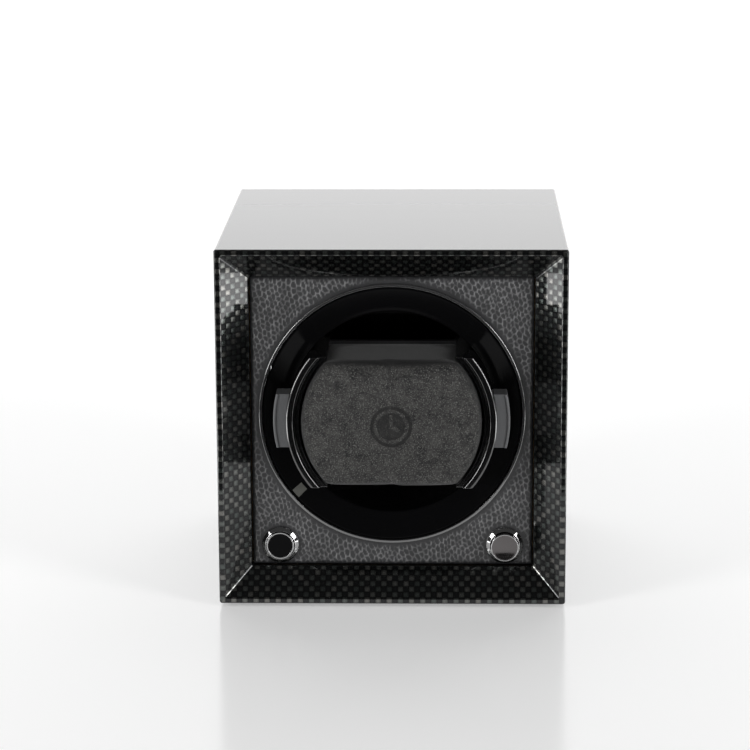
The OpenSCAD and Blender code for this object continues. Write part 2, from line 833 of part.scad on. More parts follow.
module button_cap(x, proud) {
    front_d = leather_d - proud;
    turned(x, button_z) polygon([
        [0, front_d], [cap_r - 0.4, front_d], [cap_r, front_d + 0.4], [cap_r, cap_back_d],
        [stem_r, cap_back_d], [stem_r, stem_back_d], [0, stem_back_d]
    ]);
}

module left_button_cap() color("#0e0e0f") button_cap(-button_x, left_cap_proud);

module right_button_cap() color("#7d7f82") button_cap(button_x, right_cap_proud);

// ---------- watch holder ----------

module holder_frame() color("#0c0c0d") {
    ledge_d = bead_h - wing_proud;
    neck_d = flange_front_d - 0.4;
    difference() {
        union() {
            intersection() {
                turned(0, rotor_z) polygon([
                    [wing_in_r, ledge_d], [bead_r - bead_w, ledge_d], [bead_r - bead_w, -wing_proud],
                    [bead_r, -wing_proud], [bead_r, neck_d], [holder_r, neck_d + bead_r - holder_r],
                    [holder_r, base_d + base_t / 2], [holder_r - wing_wall, base_d + base_t / 2],
                    [holder_r - wing_wall, cushion_back_d + 1], [wing_in_r, cushion_back_d + 1]
                ]);
                block(0, rotor_z, 3 * bead_r, 2 * wing_half_h, -wing_proud - 1, base_back_d);
            }
            turned(0, rotor_z) translate([8, base_d]) square([holder_r - 0.2 - 8, base_t]);
        }
        for (sx = side)
            rod(sx * dog_x, rotor_z, dog_r + gap, base_d - 1, base_back_d + 1);
        holder_pins(fit);
    }
}

// Stub pins of the cushion's back plate, which snap into the wings
module holder_pins(grow) {
    pin_tip_r = holder_r - 1 + grow;
    translate([-pin_tip_r, front_y + cushion_back_d - back_plate_t / 2, rotor_z]) rotate([0, 90, 0])
        cylinder(r = holder_pin_r + grow, h = 2 * pin_tip_r);
}

// Disc cut flat at the top and bottom, between two depths
module cut_disc(r, half_h, d0, d1) {
    intersection() {
        rod(0, rotor_z, r, d0, d1);
        block(0, rotor_z, 2 * r + 2, 2 * half_h, d0 - 1, d1 + 1);
    }
}

module cushion_back_plate() color("#141415") {
    cut_disc(cushion_r, cushion_half_h, cushion_back_d - back_plate_t, cushion_back_d);
    holder_pins(0);
}

module cushion_core() color("#d9cfa8")
    cut_disc(cushion_r - cover_t - 0.1, cushion_half_h - cover_t - 0.1,
        cover_t + 0.1 - cushion_proud, cushion_back_d - back_plate_t - 0.1);

module cushion_cover() color("#3a3a3c") {
    difference() {
        intersection() {
            turned(0, rotor_z) polygon(concat(
                [for (i = [0 : 6]) [
                    cushion_r - cushion_round * (1 - sin(i * 15)),
                    cushion_round * (1 - cos(i * 15)) - cushion_proud
                ]],
                [[cushion_r, cover_back_edge_d], [0, cover_back_edge_d], [0, -cushion_proud]]
            ));
            block(0, rotor_z, 2 * cushion_r + 2, 2 * cushion_half_h, -cushion_proud - 1, cushion_back_d);
        }
        cut_disc(cushion_r - cover_t, cushion_half_h - cover_t, cover_t - cushion_proud, cushion_back_d);
    }
}

// Grip beside a wing, with a raised outer lip and level top and bottom
module grip_tab(a) {
    out_r = bead_r + tab_out;
    intersection() {
        axis_at(0, rotor_z) rotate([0, 0, a - 30]) rotate_extrude(angle = 60) polygon([
            [bead_r + fit, tab_d + 0.5], [out_r - tab_lip, tab_d + 0.5], [out_r - tab_lip, tab_d],
            [out_r, tab_d], [out_r, tab_back_d], [bead_r + fit, tab_back_d]
        ]);
        block(0, rotor_z, 3 * out_r, tab_h, tab_d - 1, tab_back_d + 1);
    }
}

module grip_tab_left() color("#56585b") grip_tab(180);

module grip_tab_right() color("#56585b") grip_tab(0);

top_board();
bottom_board();
left_board();
right_board();
corner_blocks();
panel_battens();
front_panel();
leather_facing();
bezel_ring();
panel_screws();
plate_standoffs();
mechanism_plate();
plate_screws();
bearing_block();
bearing_block_screws();
bearing_outer_races();
bearing_balls();
gear_motor_case();
motor_can();
motor_screws();
drive_belt();
control_board();
board_spacers();
board_components();
board_connectors();
board_screws();
button_wires();
motor_wires();
power_wires();
back_cover();
back_cover_screws();
power_jack();
power_jack_pin();
power_jack_nut();
base_pad();
left_button_bezel();
right_button_bezel();
button_nuts();
button_switches();
left_button_spring();
right_button_spring();
left_button_cap();
right_button_cap();
rotor_cup();
index_mark();
rotor_hub();
hub_screws();
rotor_shaft();
rotor_pulley();
spacer_sleeves();
bearing_inner_races();
retaining_clip();
motor_shaft();
motor_pulley();
holder_frame();
cushion_back_plate();
cushion_core();
cushion_cover();
grip_tab_left();
grip_tab_right();
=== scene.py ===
import json
import math
import random

import bmesh
import bpy
from mathutils import Matrix, Vector, noise


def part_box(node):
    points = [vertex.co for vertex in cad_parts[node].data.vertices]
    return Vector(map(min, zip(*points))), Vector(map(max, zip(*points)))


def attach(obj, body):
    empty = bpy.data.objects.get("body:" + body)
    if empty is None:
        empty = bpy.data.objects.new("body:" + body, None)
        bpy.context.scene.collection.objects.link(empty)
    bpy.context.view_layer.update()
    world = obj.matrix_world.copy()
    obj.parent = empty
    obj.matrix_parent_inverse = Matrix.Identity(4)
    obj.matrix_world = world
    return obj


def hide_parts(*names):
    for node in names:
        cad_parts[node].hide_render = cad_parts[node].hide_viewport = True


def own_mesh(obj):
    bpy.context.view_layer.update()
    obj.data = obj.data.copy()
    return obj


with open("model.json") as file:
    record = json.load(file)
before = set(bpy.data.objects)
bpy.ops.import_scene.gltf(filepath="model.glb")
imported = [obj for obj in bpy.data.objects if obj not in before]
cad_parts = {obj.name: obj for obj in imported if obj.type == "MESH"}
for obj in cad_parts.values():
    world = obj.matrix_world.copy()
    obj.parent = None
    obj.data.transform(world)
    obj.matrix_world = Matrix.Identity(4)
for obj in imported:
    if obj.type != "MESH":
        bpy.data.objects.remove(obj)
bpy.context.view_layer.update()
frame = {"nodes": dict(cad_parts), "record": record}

nodes = frame["nodes"]
MM = 0.001

# ---------------------------------------------------------------- camera
# A long lens a metre in front of the box, a little above it and turned
# slightly to the left. No cord leaves the box.

front_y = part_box("top_board")[0].y
case_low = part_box("bottom_board")[0]
case_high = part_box("top_board")[1]
case_w = (case_high.x - case_low.x) / MM
case_d = (case_high.y - case_low.y) / MM
mid_z = (case_low.z + case_high.z) / 2 / MM

camera = bpy.data.objects.new("camera", bpy.data.cameras.new("camera"))
bpy.context.scene.collection.objects.link(camera)
camera.data.sensor_width = 36
camera.data.lens = 131.4
camera.data.clip_start = 0.05
camera.data.clip_end = 20
camera.location = (0.01907, front_y - 0.9062, 0.2967 + case_low.z)
turn = Matrix.Rotation(math.radians(1.557), 3, "Z")
tilt = Matrix.Rotation(math.radians(90 - 13.34), 3, "X")
roll = Matrix.Rotation(math.radians(-0.266), 3, "Z")
camera.rotation_euler = (turn @ tilt @ roll).to_euler()
bpy.context.scene.camera = camera

# ---------------------------------------------------------------- studio
# A pale, slightly glossy table under soft panels above, behind, on each side
# and in front, with a lit card on each side of the box. The front panel lights
# without a reflection, and a black card before the box is only reflected.


def graph(owner):
    """A short way to write a node tree: g.node(...) makes a node and g.put(...) sets or links a socket."""
    class Graph:
        tree = owner.node_tree if hasattr(owner, "node_tree") and owner.node_tree else owner

        def node(self, kind, **settings):
            made = self.tree.nodes.new(kind)
            for key, value in settings.items():
                setattr(made, key, value)
            return made

        def put(self, socket, value):
            if isinstance(value, bpy.types.NodeSocket):
                self.tree.links.new(value, socket)
            elif value is not None:
                socket.default_value = value

        def math(self, operation, a, b=None, c=None, clamp=False):
            made = self.node("ShaderNodeMath", operation=operation, use_clamp=clamp)
            for socket, value in zip(made.inputs, (a, b, c)):
                self.put(socket, value)
            return made.outputs[0]

        def mix(self, share, a, b):
            made = self.node("ShaderNodeMix", data_type="RGBA")
            self.put(made.inputs["Factor"], share)
            self.put(made.inputs[6], a)
            self.put(made.inputs[7], b)
            return made.outputs[2]

        def between(self, value, low, high, to_low=0.0, to_high=1.0):
            made = self.node("ShaderNodeMapRange")
            for socket, given in zip(made.inputs, (value, low, high, to_low, to_high)):
                self.put(socket, given)
            return made.outputs[0]

        def noise(self, place, scale, detail=2.0, roughness=0.5):
            made = self.node("ShaderNodeTexNoise")
            self.put(made.inputs["Vector"], place)
            self.put(made.inputs["Scale"], scale)
            self.put(made.inputs["Detail"], detail)
            self.put(made.inputs["Roughness"], roughness)
            return made.outputs["Fac"]

        def stretch(self, place, by):
            made = self.node("ShaderNodeVectorMath", operation="MULTIPLY")
            self.put(made.inputs[0], place)
            made.inputs[1].default_value = by
            return made.outputs[0]

        def bump(self, height, distance, strength=1.0, normal=None):
            made = self.node("ShaderNodeBump")
            self.put(made.inputs["Height"], height)
            made.inputs["Distance"].default_value = distance
            made.inputs["Strength"].default_value = strength
            if normal is not None:
                self.put(made.inputs["Normal"], normal)
            return made.outputs["Normal"]

        def place(self):
            return self.node("ShaderNodeTexCoord").outputs["Object"]

    return Graph()


def material(name, color, roughness, metallic=0.0, **sockets):
    """A Principled material with its plain values set. Returns it, its graph and its shader."""
    made = bpy.data.materials.new(name)
    made.use_nodes = True
    shader = made.node_tree.nodes["Principled BSDF"]
    shader.inputs["Base Color"].default_value = (*color, 1)
    shader.inputs["Roughness"].default_value = roughness
    shader.inputs["Metallic"].default_value = metallic
    for key, value in sockets.items():
        shader.inputs[key.replace("_", " ")].default_value = value
    return made, graph(made), shader


def soft_panel(name, place, target, size, radiance):
    light = bpy.data.lights.new(name, "AREA")
    light.shape = "RECTANGLE"
    light.size, light.size_y = size
    light.energy = radiance * math.pi * size[0] * size[1]
    panel = bpy.data.objects.new(name, light)
    panel.location = place
    panel.rotation_euler = (Vector(target) - Vector(place)).to_track_quat("-Z", "Y").to_euler()
    panel.visible_camera = False
    bpy.context.scene.collection.objects.link(panel)
    return panel


middle = (0, -0.05, 0.06)
soft_panel("panel_behind", (0, 2.6, 0.85), (0, 0, 0.1), (5.0, 2.0), 1.55)
soft_panel("panel_above", (0, 0.75, 1.3), (0, 0.2, 0), (1.8, 1.1), 0.9)
for side in (-1, 1):
    soft_panel(f"panel_side_{side}", (side * 0.92, -0.74, 0.36), middle, (0.36, 0.6), 9.0)
    soft_panel(f"card_{side}", (side * 0.34, -0.11, 0.004), (side * 0.34, -0.11, 1), (0.36, 0.3), 3.4)
front_panel = soft_panel("panel_front", (0.0, -0.95, 1.55), middle, (1.1, 0.3), 1.6)
front_panel.visible_glossy = False

card_mesh = bpy.data.meshes.new("black_card")
card_half_w, card_near_y, card_far_y, card_lift = 0.3, -0.2, -1.6, 0.003
card_mesh.from_pydata(
    [(-card_half_w, card_far_y, card_lift), (card_half_w, card_far_y, card_lift),
     (card_half_w, card_near_y, card_lift), (-card_half_w, card_near_y, card_lift)], [], [(0, 1, 2, 3)]
)
black_card = bpy.data.objects.new("black_card", card_mesh)
bpy.context.scene.collection.objects.link(black_card)
card_black = material("card_black", (0.01, 0.01, 0.01), 1.0, Specular_IOR_Level=0.0)[0]
card_mesh.materials.append(card_black)
black_card.visible_camera = black_card.visible_diffuse = black_card.visible_shadow = False

world = bpy.data.worlds.new("studio")
bpy.context.scene.world = world
world.use_nodes = True
room = graph(world)
background = world.node_tree.nodes["Background"]
seen = room.node("ShaderNodeLightPath").outputs["Is Camera Ray"]
room.put(background.inputs["Color"], room.mix(seen, (0.06, 0.06, 0.06, 1), (1.05, 1.05, 1.05, 1)))

table_mesh = bpy.data.meshes.new("table")
reach, far_edge = 6.0, 2.55
table_mesh.from_pydata(
    [(-reach, -reach, 0), (reach, -reach, 0), (reach, far_edge, 0), (-reach, far_edge, 0)],
    [], [(0, 1, 2, 3)]
)
table = bpy.data.objects.new("table", table_mesh)
bpy.context.scene.collection.objects.link(table)
table_paint, g, shader = material("table_top", (0.8, 0.8, 0.8), 0.16, IOR=1.24)
shader.inputs["Emission Color"].default_value = (1, 1, 1, 1)
shader.inputs["Emission Strength"].default_value = 0.33
g.put(shader.inputs["Roughness"], g.between(g.noise(g.place(), 9.0, 3.0), 0.3, 0.7, 0.14, 0.19))
table_mesh.materials.append(table_paint)

bpy.context.scene.view_settings.view_transform = "Standard"

# ---------------------------------------------------------------- case
# Four fibreboard panels mitred at the corners, covered in black plain-weave
# carbon film and buried in thick clear lacquer, which rounds every edge.


def place(x, d, z):
    """A point from its x, its depth behind the front lip and its height, all in millimetres."""
    return Vector((x * MM, front_y + d * MM, z * MM))


def eased(points, radii, steps=4, closed=True):
    """Rounds the corners of an outline and adds a close point beside each round, which keeps flats flat."""
    made = []
    for i, point in enumerate(points):
        here = Vector(point)
        before = Vector(points[i - 1])
        after = Vector(points[(i + 1) % len(points)])
        radius = radii[i] if isinstance(radii, (list, tuple)) else radii
        if radius <= 0 or (not closed and i in (0, len(points) - 1)):
            made.append(tuple(here))
            continue
        to_before = (before - here)
        to_after = (after - here)
        cut = min(radius, 0.42 * to_before.length, 0.42 * to_after.length)
        start = here + to_before.normalized() * cut
        end = here + to_after.normalized() * cut
        made.append(tuple(start + to_before.normalized() * cut * 0.15))
        for k in range(steps + 1):
            t = k / steps
            made.append(tuple(start * (1 - t) ** 2 + here * 2 * t * (1 - t) + end * t ** 2))
        made.append(tuple(end + to_after.normalized() * cut * 0.15))
    return made


def piece(name, points, faces, uv=None, sharp=62, weld=1e-7):
    """A mesh object from points in metres. Doubles are merged and faces point outwards."""
    mesh = bpy.data.meshes.new(name)
    mesh.from_pydata(points, [], faces)
    if uv:
        layer = mesh.uv_layers.new(name="UVMap")
        for loop in mesh.loops:
            layer.data[loop.index].uv = uv[loop.vertex_index]
    work = bmesh.new()
    work.from_mesh(mesh)
    bmesh.ops.remove_doubles(work, verts=work.verts, dist=weld)
    bmesh.ops.dissolve_degenerate(work, edges=work.edges, dist=weld)
    bmesh.ops.recalc_face_normals(work, faces=work.faces)
    work.to_mesh(mesh)
    work.free()
    for face in mesh.polygons:
        face.use_smooth = True
    mesh.set_sharp_from_angle(angle=math.radians(sharp))
    made = bpy.data.objects.new(name, mesh)
    bpy.context.scene.collection.objects.link(made)
    return made


def finish(made, body, replaced, slot, *paints):
    """Gives a piece its materials and its body, and hides the CAD nodes that it stands for. The slot is not
    used.
    """
    for paint in paints:
        made.data.materials.append(paint)
    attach(made, body)
    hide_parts(*replaced)
    return made


weave_along, weave_across = 1.93, 2.15
carbon, g, shader = material("carbon_lacquer", (0.02, 0.02, 0.02), 0.3, 0.9,
                             Coat_Weight=1.0, Coat_Roughness=0.012, Coat_IOR=1.45,
                             Specular_Tint=(0.12, 0.12, 0.12, 1))
across = g.node("ShaderNodeSeparateXYZ")
g.put(across.inputs[0], g.node("ShaderNodeTexCoord").outputs["UV"])
u = g.math("DIVIDE", across.outputs[0], weave_along)
v = g.math("DIVIDE", across.outputs[1], weave_across)
in_u = g.math("FRACT", g.math("ADD", u, 200))
in_v = g.math("FRACT", g.math("ADD", v, 200))
at_u = g.math("FLOOR", g.math("ADD", u, 200))
at_v = g.math("FLOOR", g.math("ADD", v, 200))
over = g.math("MODULO", g.math("ADD", at_u, at_v), 2)
arch_u = g.math("SINE", g.math("MULTIPLY", in_u, math.pi))
arch_v = g.math("SINE", g.math("MULTIPLY", in_v, math.pi))
along = g.math("MULTIPLY", g.math("POWER", arch_v, 0.5), g.math("POWER", arch_u, 0.45))
crossing = g.math("MULTIPLY", g.math("POWER", arch_u, 0.5), g.math("POWER", arch_v, 0.4))
cell_id = g.node("ShaderNodeCombineXYZ")
g.put(cell_id.inputs[0], at_u)
g.put(cell_id.inputs[1], at_v)
chance = g.node("ShaderNodeTexWhiteNoise", noise_dimensions="2D")
g.put(chance.inputs["Vector"], cell_id.outputs[0])
fibre_place = g.node("ShaderNodeCombineXYZ")
g.put(fibre_place.inputs[0], u)
g.put(fibre_place.inputs[1], v)
fibres_v = g.noise(g.stretch(fibre_place.outputs[0], (9.0, 0.7, 1.0)), 1.0, 2.0)
fibres_u = g.noise(g.stretch(fibre_place.outputs[0], (0.7, 9.0, 1.0)), 1.0, 2.0)
# Each light tow is painted brightest along its middle and toward one edge, and each crossing tow faintly
# along its middle: a painted highlight on the rounded tows. The light and dark checker is partly the film's
# print and partly painted highlight.
lit = g.math("MULTIPLY", along, g.between(in_v, 0.0, 1.0, 1.2, 0.7))
bright = g.math("MULTIPLY", lit, g.between(chance.outputs["Value"], 0, 1, 0.55, 1.2))
bright = g.math("MULTIPLY", bright, g.between(fibres_v, 0.3, 0.7, 0.7, 1.2))
tint = g.mix(chance.outputs["Value"], (0.15, 0.175, 0.165, 1), (0.185, 0.18, 0.168, 1))
weft_lit = g.math("MULTIPLY", crossing, g.between(fibres_u, 0.3, 0.7, 0.4, 1.4))
light_cell = g.mix(bright, (0.006, 0.006, 0.0065, 1), tint)
dark_cell = g.mix(weft_lit, (0.004, 0.004, 0.0045, 1), (0.02, 0.021, 0.022, 1))
# At a glancing look the weave's colour is painted over with a plain grey, a painted sheen that stands in
# for the lacquer's gloss hiding the weave; the tows' roughness and bumps fade there too.
glance = g.node("ShaderNodeLayerWeight")
glance.inputs["Blend"].default_value = 0.5
painted_glance_sheen = g.between(glance.outputs["Facing"], 0.55, 0.74)
weave = g.mix(over, dark_cell, light_cell)
g.put(shader.inputs["Base Color"], g.mix(painted_glance_sheen, weave, (0.03, 0.031, 0.033, 1)))
smooth_tow = g.math("MULTIPLY", over, g.math("SUBTRACT", 1, painted_glance_sheen))
g.put(shader.inputs["Roughness"], g.between(smooth_tow, 0, 1, 0.3, 0.15))
weft = g.math("MULTIPLY", g.math("SUBTRACT", 1, over), crossing)
tow = g.math("ADD", g.math("MULTIPLY", over, along), weft)
tow = g.math("ADD", tow, g.math("MULTIPLY", fibres_v, 0.12))
tow = g.math("MULTIPLY", tow, g.math("SUBTRACT", 1, painted_glance_sheen))
g.put(shader.inputs["Normal"], g.bump(tow, 0.00010, 0.25))

lip_w = 1.9
bevel_d = 9.0
board_t = 11.0
outer_round = 0.7
mitre_round = 0.9
board_outline = [(0, case_d), (0, 0), (lip_w, 0), (board_t, bevel_d), (board_t, case_d)]
board_section = eased(board_outline, [0.6, outer_round, 0.35, 0.45, 0.3])


def case_board(name, quarter):
    """One mitred board: its section is carried round half a corner, along the side and round the next."""
    half_w, half_h = case_w / 2, (case_high.z - case_low.z) / MM / 2
    half_along, half_out = (half_w, half_h) if quarter % 2 == 0 else (half_h, half_w)
    points, uv = [], []
    run = 0.0
    last = board_section[-1]
    arc_steps = 4
    per_row = 0
    for n, d in board_section + board_section[:1]:
        run += math.dist((n, d), last)
        last = (n, d)
        radius = max(outer_round - n, mitre_round)
        centre_a, centre_o = half_along - n - radius, half_out - n - radius
        row = []
        for k in range(arc_steps + 1):
            a = math.radians(45 + 45 * k / arc_steps)
            row.append((centre_a + radius * math.cos(a), centre_o + radius * math.sin(a)))
        row.append((centre_a - 0.12, centre_o + radius))
        row.extend((centre_a * s, centre_o + radius) for s in (0.5, 0.0, -0.5))
        row.append((-centre_a + 0.12, centre_o + radius))
        for k in range(arc_steps + 1):
            a = math.radians(90 + 45 * k / arc_steps)
            row.append((-centre_a + radius * math.cos(a), centre_o + radius * math.sin(a)))
        per_row = len(row)
        for along_at, out_at in row:
            turned = [(along_at, out_at), (out_at, -along_at), (-along_at, -out_at), (-out_at, along_at)]
            x, z = turned[quarter]
            points.append(place(x, d, mid_z + z))
            uv.append((along_at, run))
    rows = len(board_section)
    faces = [
        (i * per_row + j, i * per_row + j + 1, (i + 1) * per_row + j + 1, (i + 1) * per_row + j)
        for i in range(rows) for j in range(per_row - 1)
    ]
    faces.append([i * per_row for i in range(rows)])
    faces.append([i * per_row + per_row - 1 for i in range(rows)][::-1])
    return piece(name, points, faces, uv)


for quarter, node in enumerate(("top_board", "right_board", "bottom_board", "left_board")):
    finish(case_board("lacquered_" + node, quarter), "case", [node], "carbon_lacquer", carbon)

# ---------------------------------------------------------------- base pad
# Dense black felt glued under the box, a little smaller than it, so that
# the box seems to float and doesn't scratch the table.


def cad_copy(name, node, width, segments=2, angle=40):
    """A copy of a CAD node with its loose triangles merged and its edges softly broken."""
    mesh = nodes[node].data.copy()
    mesh.name = name
    mesh.materials.clear()
    work = bmesh.new()
    work.from_mesh(mesh)
    bmesh.ops.remove_doubles(work, verts=work.verts, dist=2e-6)
    bmesh.ops.dissolve_limit(work, angle_limit=math.radians(0.5), verts=work.verts, edges=work.edges)
    work.to_mesh(mesh)
    work.free()
    mesh.shade_smooth()
    mesh.set_sharp_from_angle(angle=math.radians(angle))
    made = bpy.data.objects.new(name, mesh)
    bpy.context.scene.collection.objects.link(made)
    bevel = made.modifiers.new("broken_edges", "BEVEL")
    bevel.width = width
    bevel.segments = segments
    bevel.limit_method = "ANGLE"
    bevel.angle_limit = math.radians(angle)
    bevel.use_clamp_overlap = True
    bevel.harden_normals = True
    return made


felt, g, shader = material("felt", (0.012, 0.012, 0.012), 0.95, Sheen_Weight=0.35, Sheen_Roughness=0.5)
fluff = g.noise(g.place(), 1400, 6, 0.7)
g.put(shader.inputs["Base Color"], g.mix(fluff, (0.006, 0.006, 0.006, 1), (0.03, 0.03, 0.031, 1)))
g.put(shader.inputs["Normal"], g.bump(fluff, 0.0006, 0.8))
finish(cad_copy("felt_pad", "base_pad", 0.0004), "case", ["base_pad"], "felt", felt)

# ---------------------------------------------------------------- leather facing
# Pebbled leather glued over the front panel and rolled round its edges.
# The grain is cut into the mesh; pores and fine creases are in the material, and the grain's ridges carry a
# painted highlight.

rotor_z = (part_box("bezel_ring")[0].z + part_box("bezel_ring")[1].z) / 2 / MM
leather_low, leather_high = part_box("leather_facing")
leather_d = (leather_low.y - front_y) / MM
button_low, button_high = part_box("right_button_bezel")
button_x = (button_low.x + button_high.x) / 2 / MM
button_z = (button_low.z + button_high.z) / 2 / MM
ring_r = (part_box("bezel_ring")[1].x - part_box("bezel_ring")[0].x) / 2 / MM
ring_in_r, ring_tube_r = ring_r - 1.1, ring_r - 0.3
ring_hole_r = ring_tube_r + 0.05
button_hole_r = 5.7
grain_step = 0.36
roll_r = 1.9
pebble_h = 0.15
skin_gap, roll_depth = 0.02, 0.95
cell_w, cell_h = 1.5, 2.2
chance_at = random.Random(11)
seeds = {}
for column in range(-42, 60):
    for row in range(-4, 68):
        seeds[column, row] = ((column + chance_at.uniform(-0.24, 0.24)) * cell_w,
                              (row + 0.5 * (column % 2) + chance_at.uniform(-0.28, 0.28)) * cell_h)


def grain(x, z):
    """Height of the leather's grain, up to 1 on its ridges, which are strongest where they run upwards."""
    drift, drift_scale, lean = 1.3, 0.09, 0.22
    x = x + drift * noise.noise(Vector((x * drift_scale, z * drift_scale, 3.1))) + lean * z
    z = z + drift * noise.noise(Vector((x * drift_scale, z * drift_scale, 8.4)))
    column, row = round(x / cell_w), round(z / cell_h)
    near = []
    for i in (-1, 0, 1):
        for j in (-1, 0, 1):
            seed = seeds.get((column + i, row + j))
            if seed:
                near.append((math.hypot((x - seed[0]) / cell_w, (z - seed[1]) / cell_h), seed))
    near.sort()
    (nearest, one), (second, two) = near[0], near[1]
    step_x, step_z = (one[0] - two[0]) / cell_w, (one[1] - two[1]) / cell_h
    upright = abs(step_x) / math.hypot(step_x, step_z)
    ridge_w = 0.42
    ridge = 1 - min(1.0, (second - nearest) / ridge_w)
    return ridge * ridge * (3 - 2 * ridge) * (0.55 + 0.45 * upright)


def leather_sheet():
    half_w = (leather_high.x - leather_low.x) / 2 / MM
    low_z, high_z = leather_low.z / MM, leather_high.z / MM
    columns = round(2 * half_w / grain_step)
    rows = round((high_z - low_z) / grain_step)
    holes = [(0, rotor_z, ring_hole_r)] + [(side * button_x, button_z, button_hole_r) for side in (-1, 1)]
    points, heights, index, faces = [], [], {}, []
    for i in range(columns + 1):
        for j in range(rows + 1):
            x = -half_w + 2 * half_w * i / columns
            z = low_z + (high_z - low_z) * j / rows
            near = [(math.hypot(x - hx, z - hz) - r) for hx, hz, r in holes]
            k = min(range(3), key=lambda n: near[n])
            if near[k] < -1.5 * grain_step:
                continue
            if near[k] < 0.3 * grain_step:
                hx, hz, r = holes[k]
                reach_out = r / math.hypot(x - hx, z - hz)
                x, z = hx + (x - hx) * reach_out, hz + (z - hz) * reach_out
            border = min(half_w - abs(x), z - low_z, high_z - z)
            lowered = 0.0
            if border < roll_r:
                lowered = roll_r - math.sqrt(max(roll_r ** 2 - (roll_r - border) ** 2, 0))
            calm = min(1.0, max(0.0, near[k] - 0.8) / 1.5) * min(1.0, border / 1.2)
            strength = 0.75 + 0.7 * noise.noise(Vector((x * 0.6, z * 0.6, 5)))
            height = grain(x, z) * min(1.0, max(0.4, strength))
            sunk = min(lowered, roll_depth) + pebble_h * (1 - height) * calm
            points.append(place(x, leather_d + skin_gap + sunk, z))
            heights.append(height * calm)
            index[i, j] = len(points) - 1
    for i in range(columns):
        for j in range(rows):
            corners = [(i, j), (i + 1, j), (i + 1, j + 1), (i, j + 1)]
            if all(c in index for c in corners):
                ids = [index[c] for c in corners]
                centre = sum((points[n] for n in ids), Vector()) / 4
                x, z = centre.x / MM, centre.z / MM
                if all(math.hypot(x - hx, z - hz) > r for hx, hz, r in holes):
                    faces.append(ids)
    mesh = bpy.data.meshes.new("leather")
    mesh.from_pydata(points, [], faces)
    mesh.attributes.new("grain", "FLOAT", "POINT").data.foreach_set("value", heights)
    work = bmesh.new()
    work.from_mesh(mesh)
    loose = [vert for vert in work.verts if not vert.link_faces]
    bmesh.ops.delete(work, geom=loose, context="VERTS")
    bmesh.ops.dissolve_degenerate(work, edges=work.edges, dist=1e-6)
    bmesh.ops.recalc_face_normals(work, faces=work.faces)
    if sum(face.normal.y * face.calc_area() for face in work.faces) > 0:
        bmesh.ops.reverse_faces(work, faces=work.faces)
    work.to_mesh(mesh)
    work.free()
    mesh.shade_smooth()
    made = bpy.data.objects.new("leather_front", mesh)
    bpy.context.scene.collection.objects.link(made)
    thick = made.modifiers.new("hide", "SOLIDIFY")
    thick.thickness = 0.0006
    thick.offset = -1
    return made


leather, g, shader = material("leather", (0.04, 0.04, 0.041), 0.45, Coat_Weight=0.15, Coat_Roughness=0.3)
where = g.place()
ridge_at = g.node("ShaderNodeAttribute", attribute_name="grain").outputs["Fac"]
pores = g.noise(where, 2600, 4, 0.6)
patches = g.noise(where, 120, 4, 0.6)
hide_color = g.mix(g.between(patches, 0.35, 0.65), (0.022, 0.022, 0.023, 1), (0.034, 0.034, 0.036, 1))
# The ridges are painted many times lighter than the hide: a painted highlight where the raised grain
# catches the side light, varied by the patches.
painted_ridge_highlight = g.math("MULTIPLY", g.between(ridge_at, 0.1, 0.8), g.between(patches, 0.35, 0.65, 0.65, 1.0))
g.put(shader.inputs["Base Color"], g.mix(painted_ridge_highlight, hide_color, (0.23, 0.23, 0.233, 1)))
g.put(shader.inputs["Roughness"], g.between(pores, 0.3, 0.7, 0.34, 0.55))
fine = g.node("ShaderNodeTexVoronoi", feature="DISTANCE_TO_EDGE")
g.put(fine.inputs["Vector"], where)
fine.inputs["Scale"].default_value = 1500
wrinkle = g.math("ADD", g.math("MULTIPLY", g.between(fine.outputs["Distance"], 0.0, 0.25), 0.5), pores)
g.put(shader.inputs["Normal"], g.bump(wrinkle, 0.00008, 0.6))
hide = finish(leather_sheet(), "case", ["leather_facing"], "leather", leather)

# ---------------------------------------------------------------- fixed ring
# A moulded gloss-black ring pressed into the panel. Its thin rounded lip
# covers the leather's cut edge and catches a bright line all the way round.


def walls(bands, size, count):
    """Faces that join each outline of a row of outlines to the next."""
    return [
        (k * size + i, k * size + (i + 1) % size, (k + 1) % count * size + (i + 1) % size,
         (k + 1) % count * size + i)
        for k in range(bands) for i in range(size)
    ]


def ends(size, count):
    """Faces that close the first and the last outline."""
    return [list(range(size)), [(count - 1) * size + i for i in range(size)][::-1]]


def lathe(name, outline, x, z, steps=180, start=0.0, sweep=360.0):
    """Turns an outline of (radius, depth) about a level axis at x, z. A part turn is closed at its ends."""
    full = sweep >= 360
    count = steps if full else steps + 1
    points = []
    for k in range(count):
        a = math.radians(start + sweep * k / steps)
        points.extend(place(x + r * math.cos(a), d, z + r * math.sin(a)) for r, d in outline)
    faces = walls(steps, len(outline), count)
    if not full:
        faces.extend(ends(len(outline), count))
    return piece(name, points, faces, sharp=50)


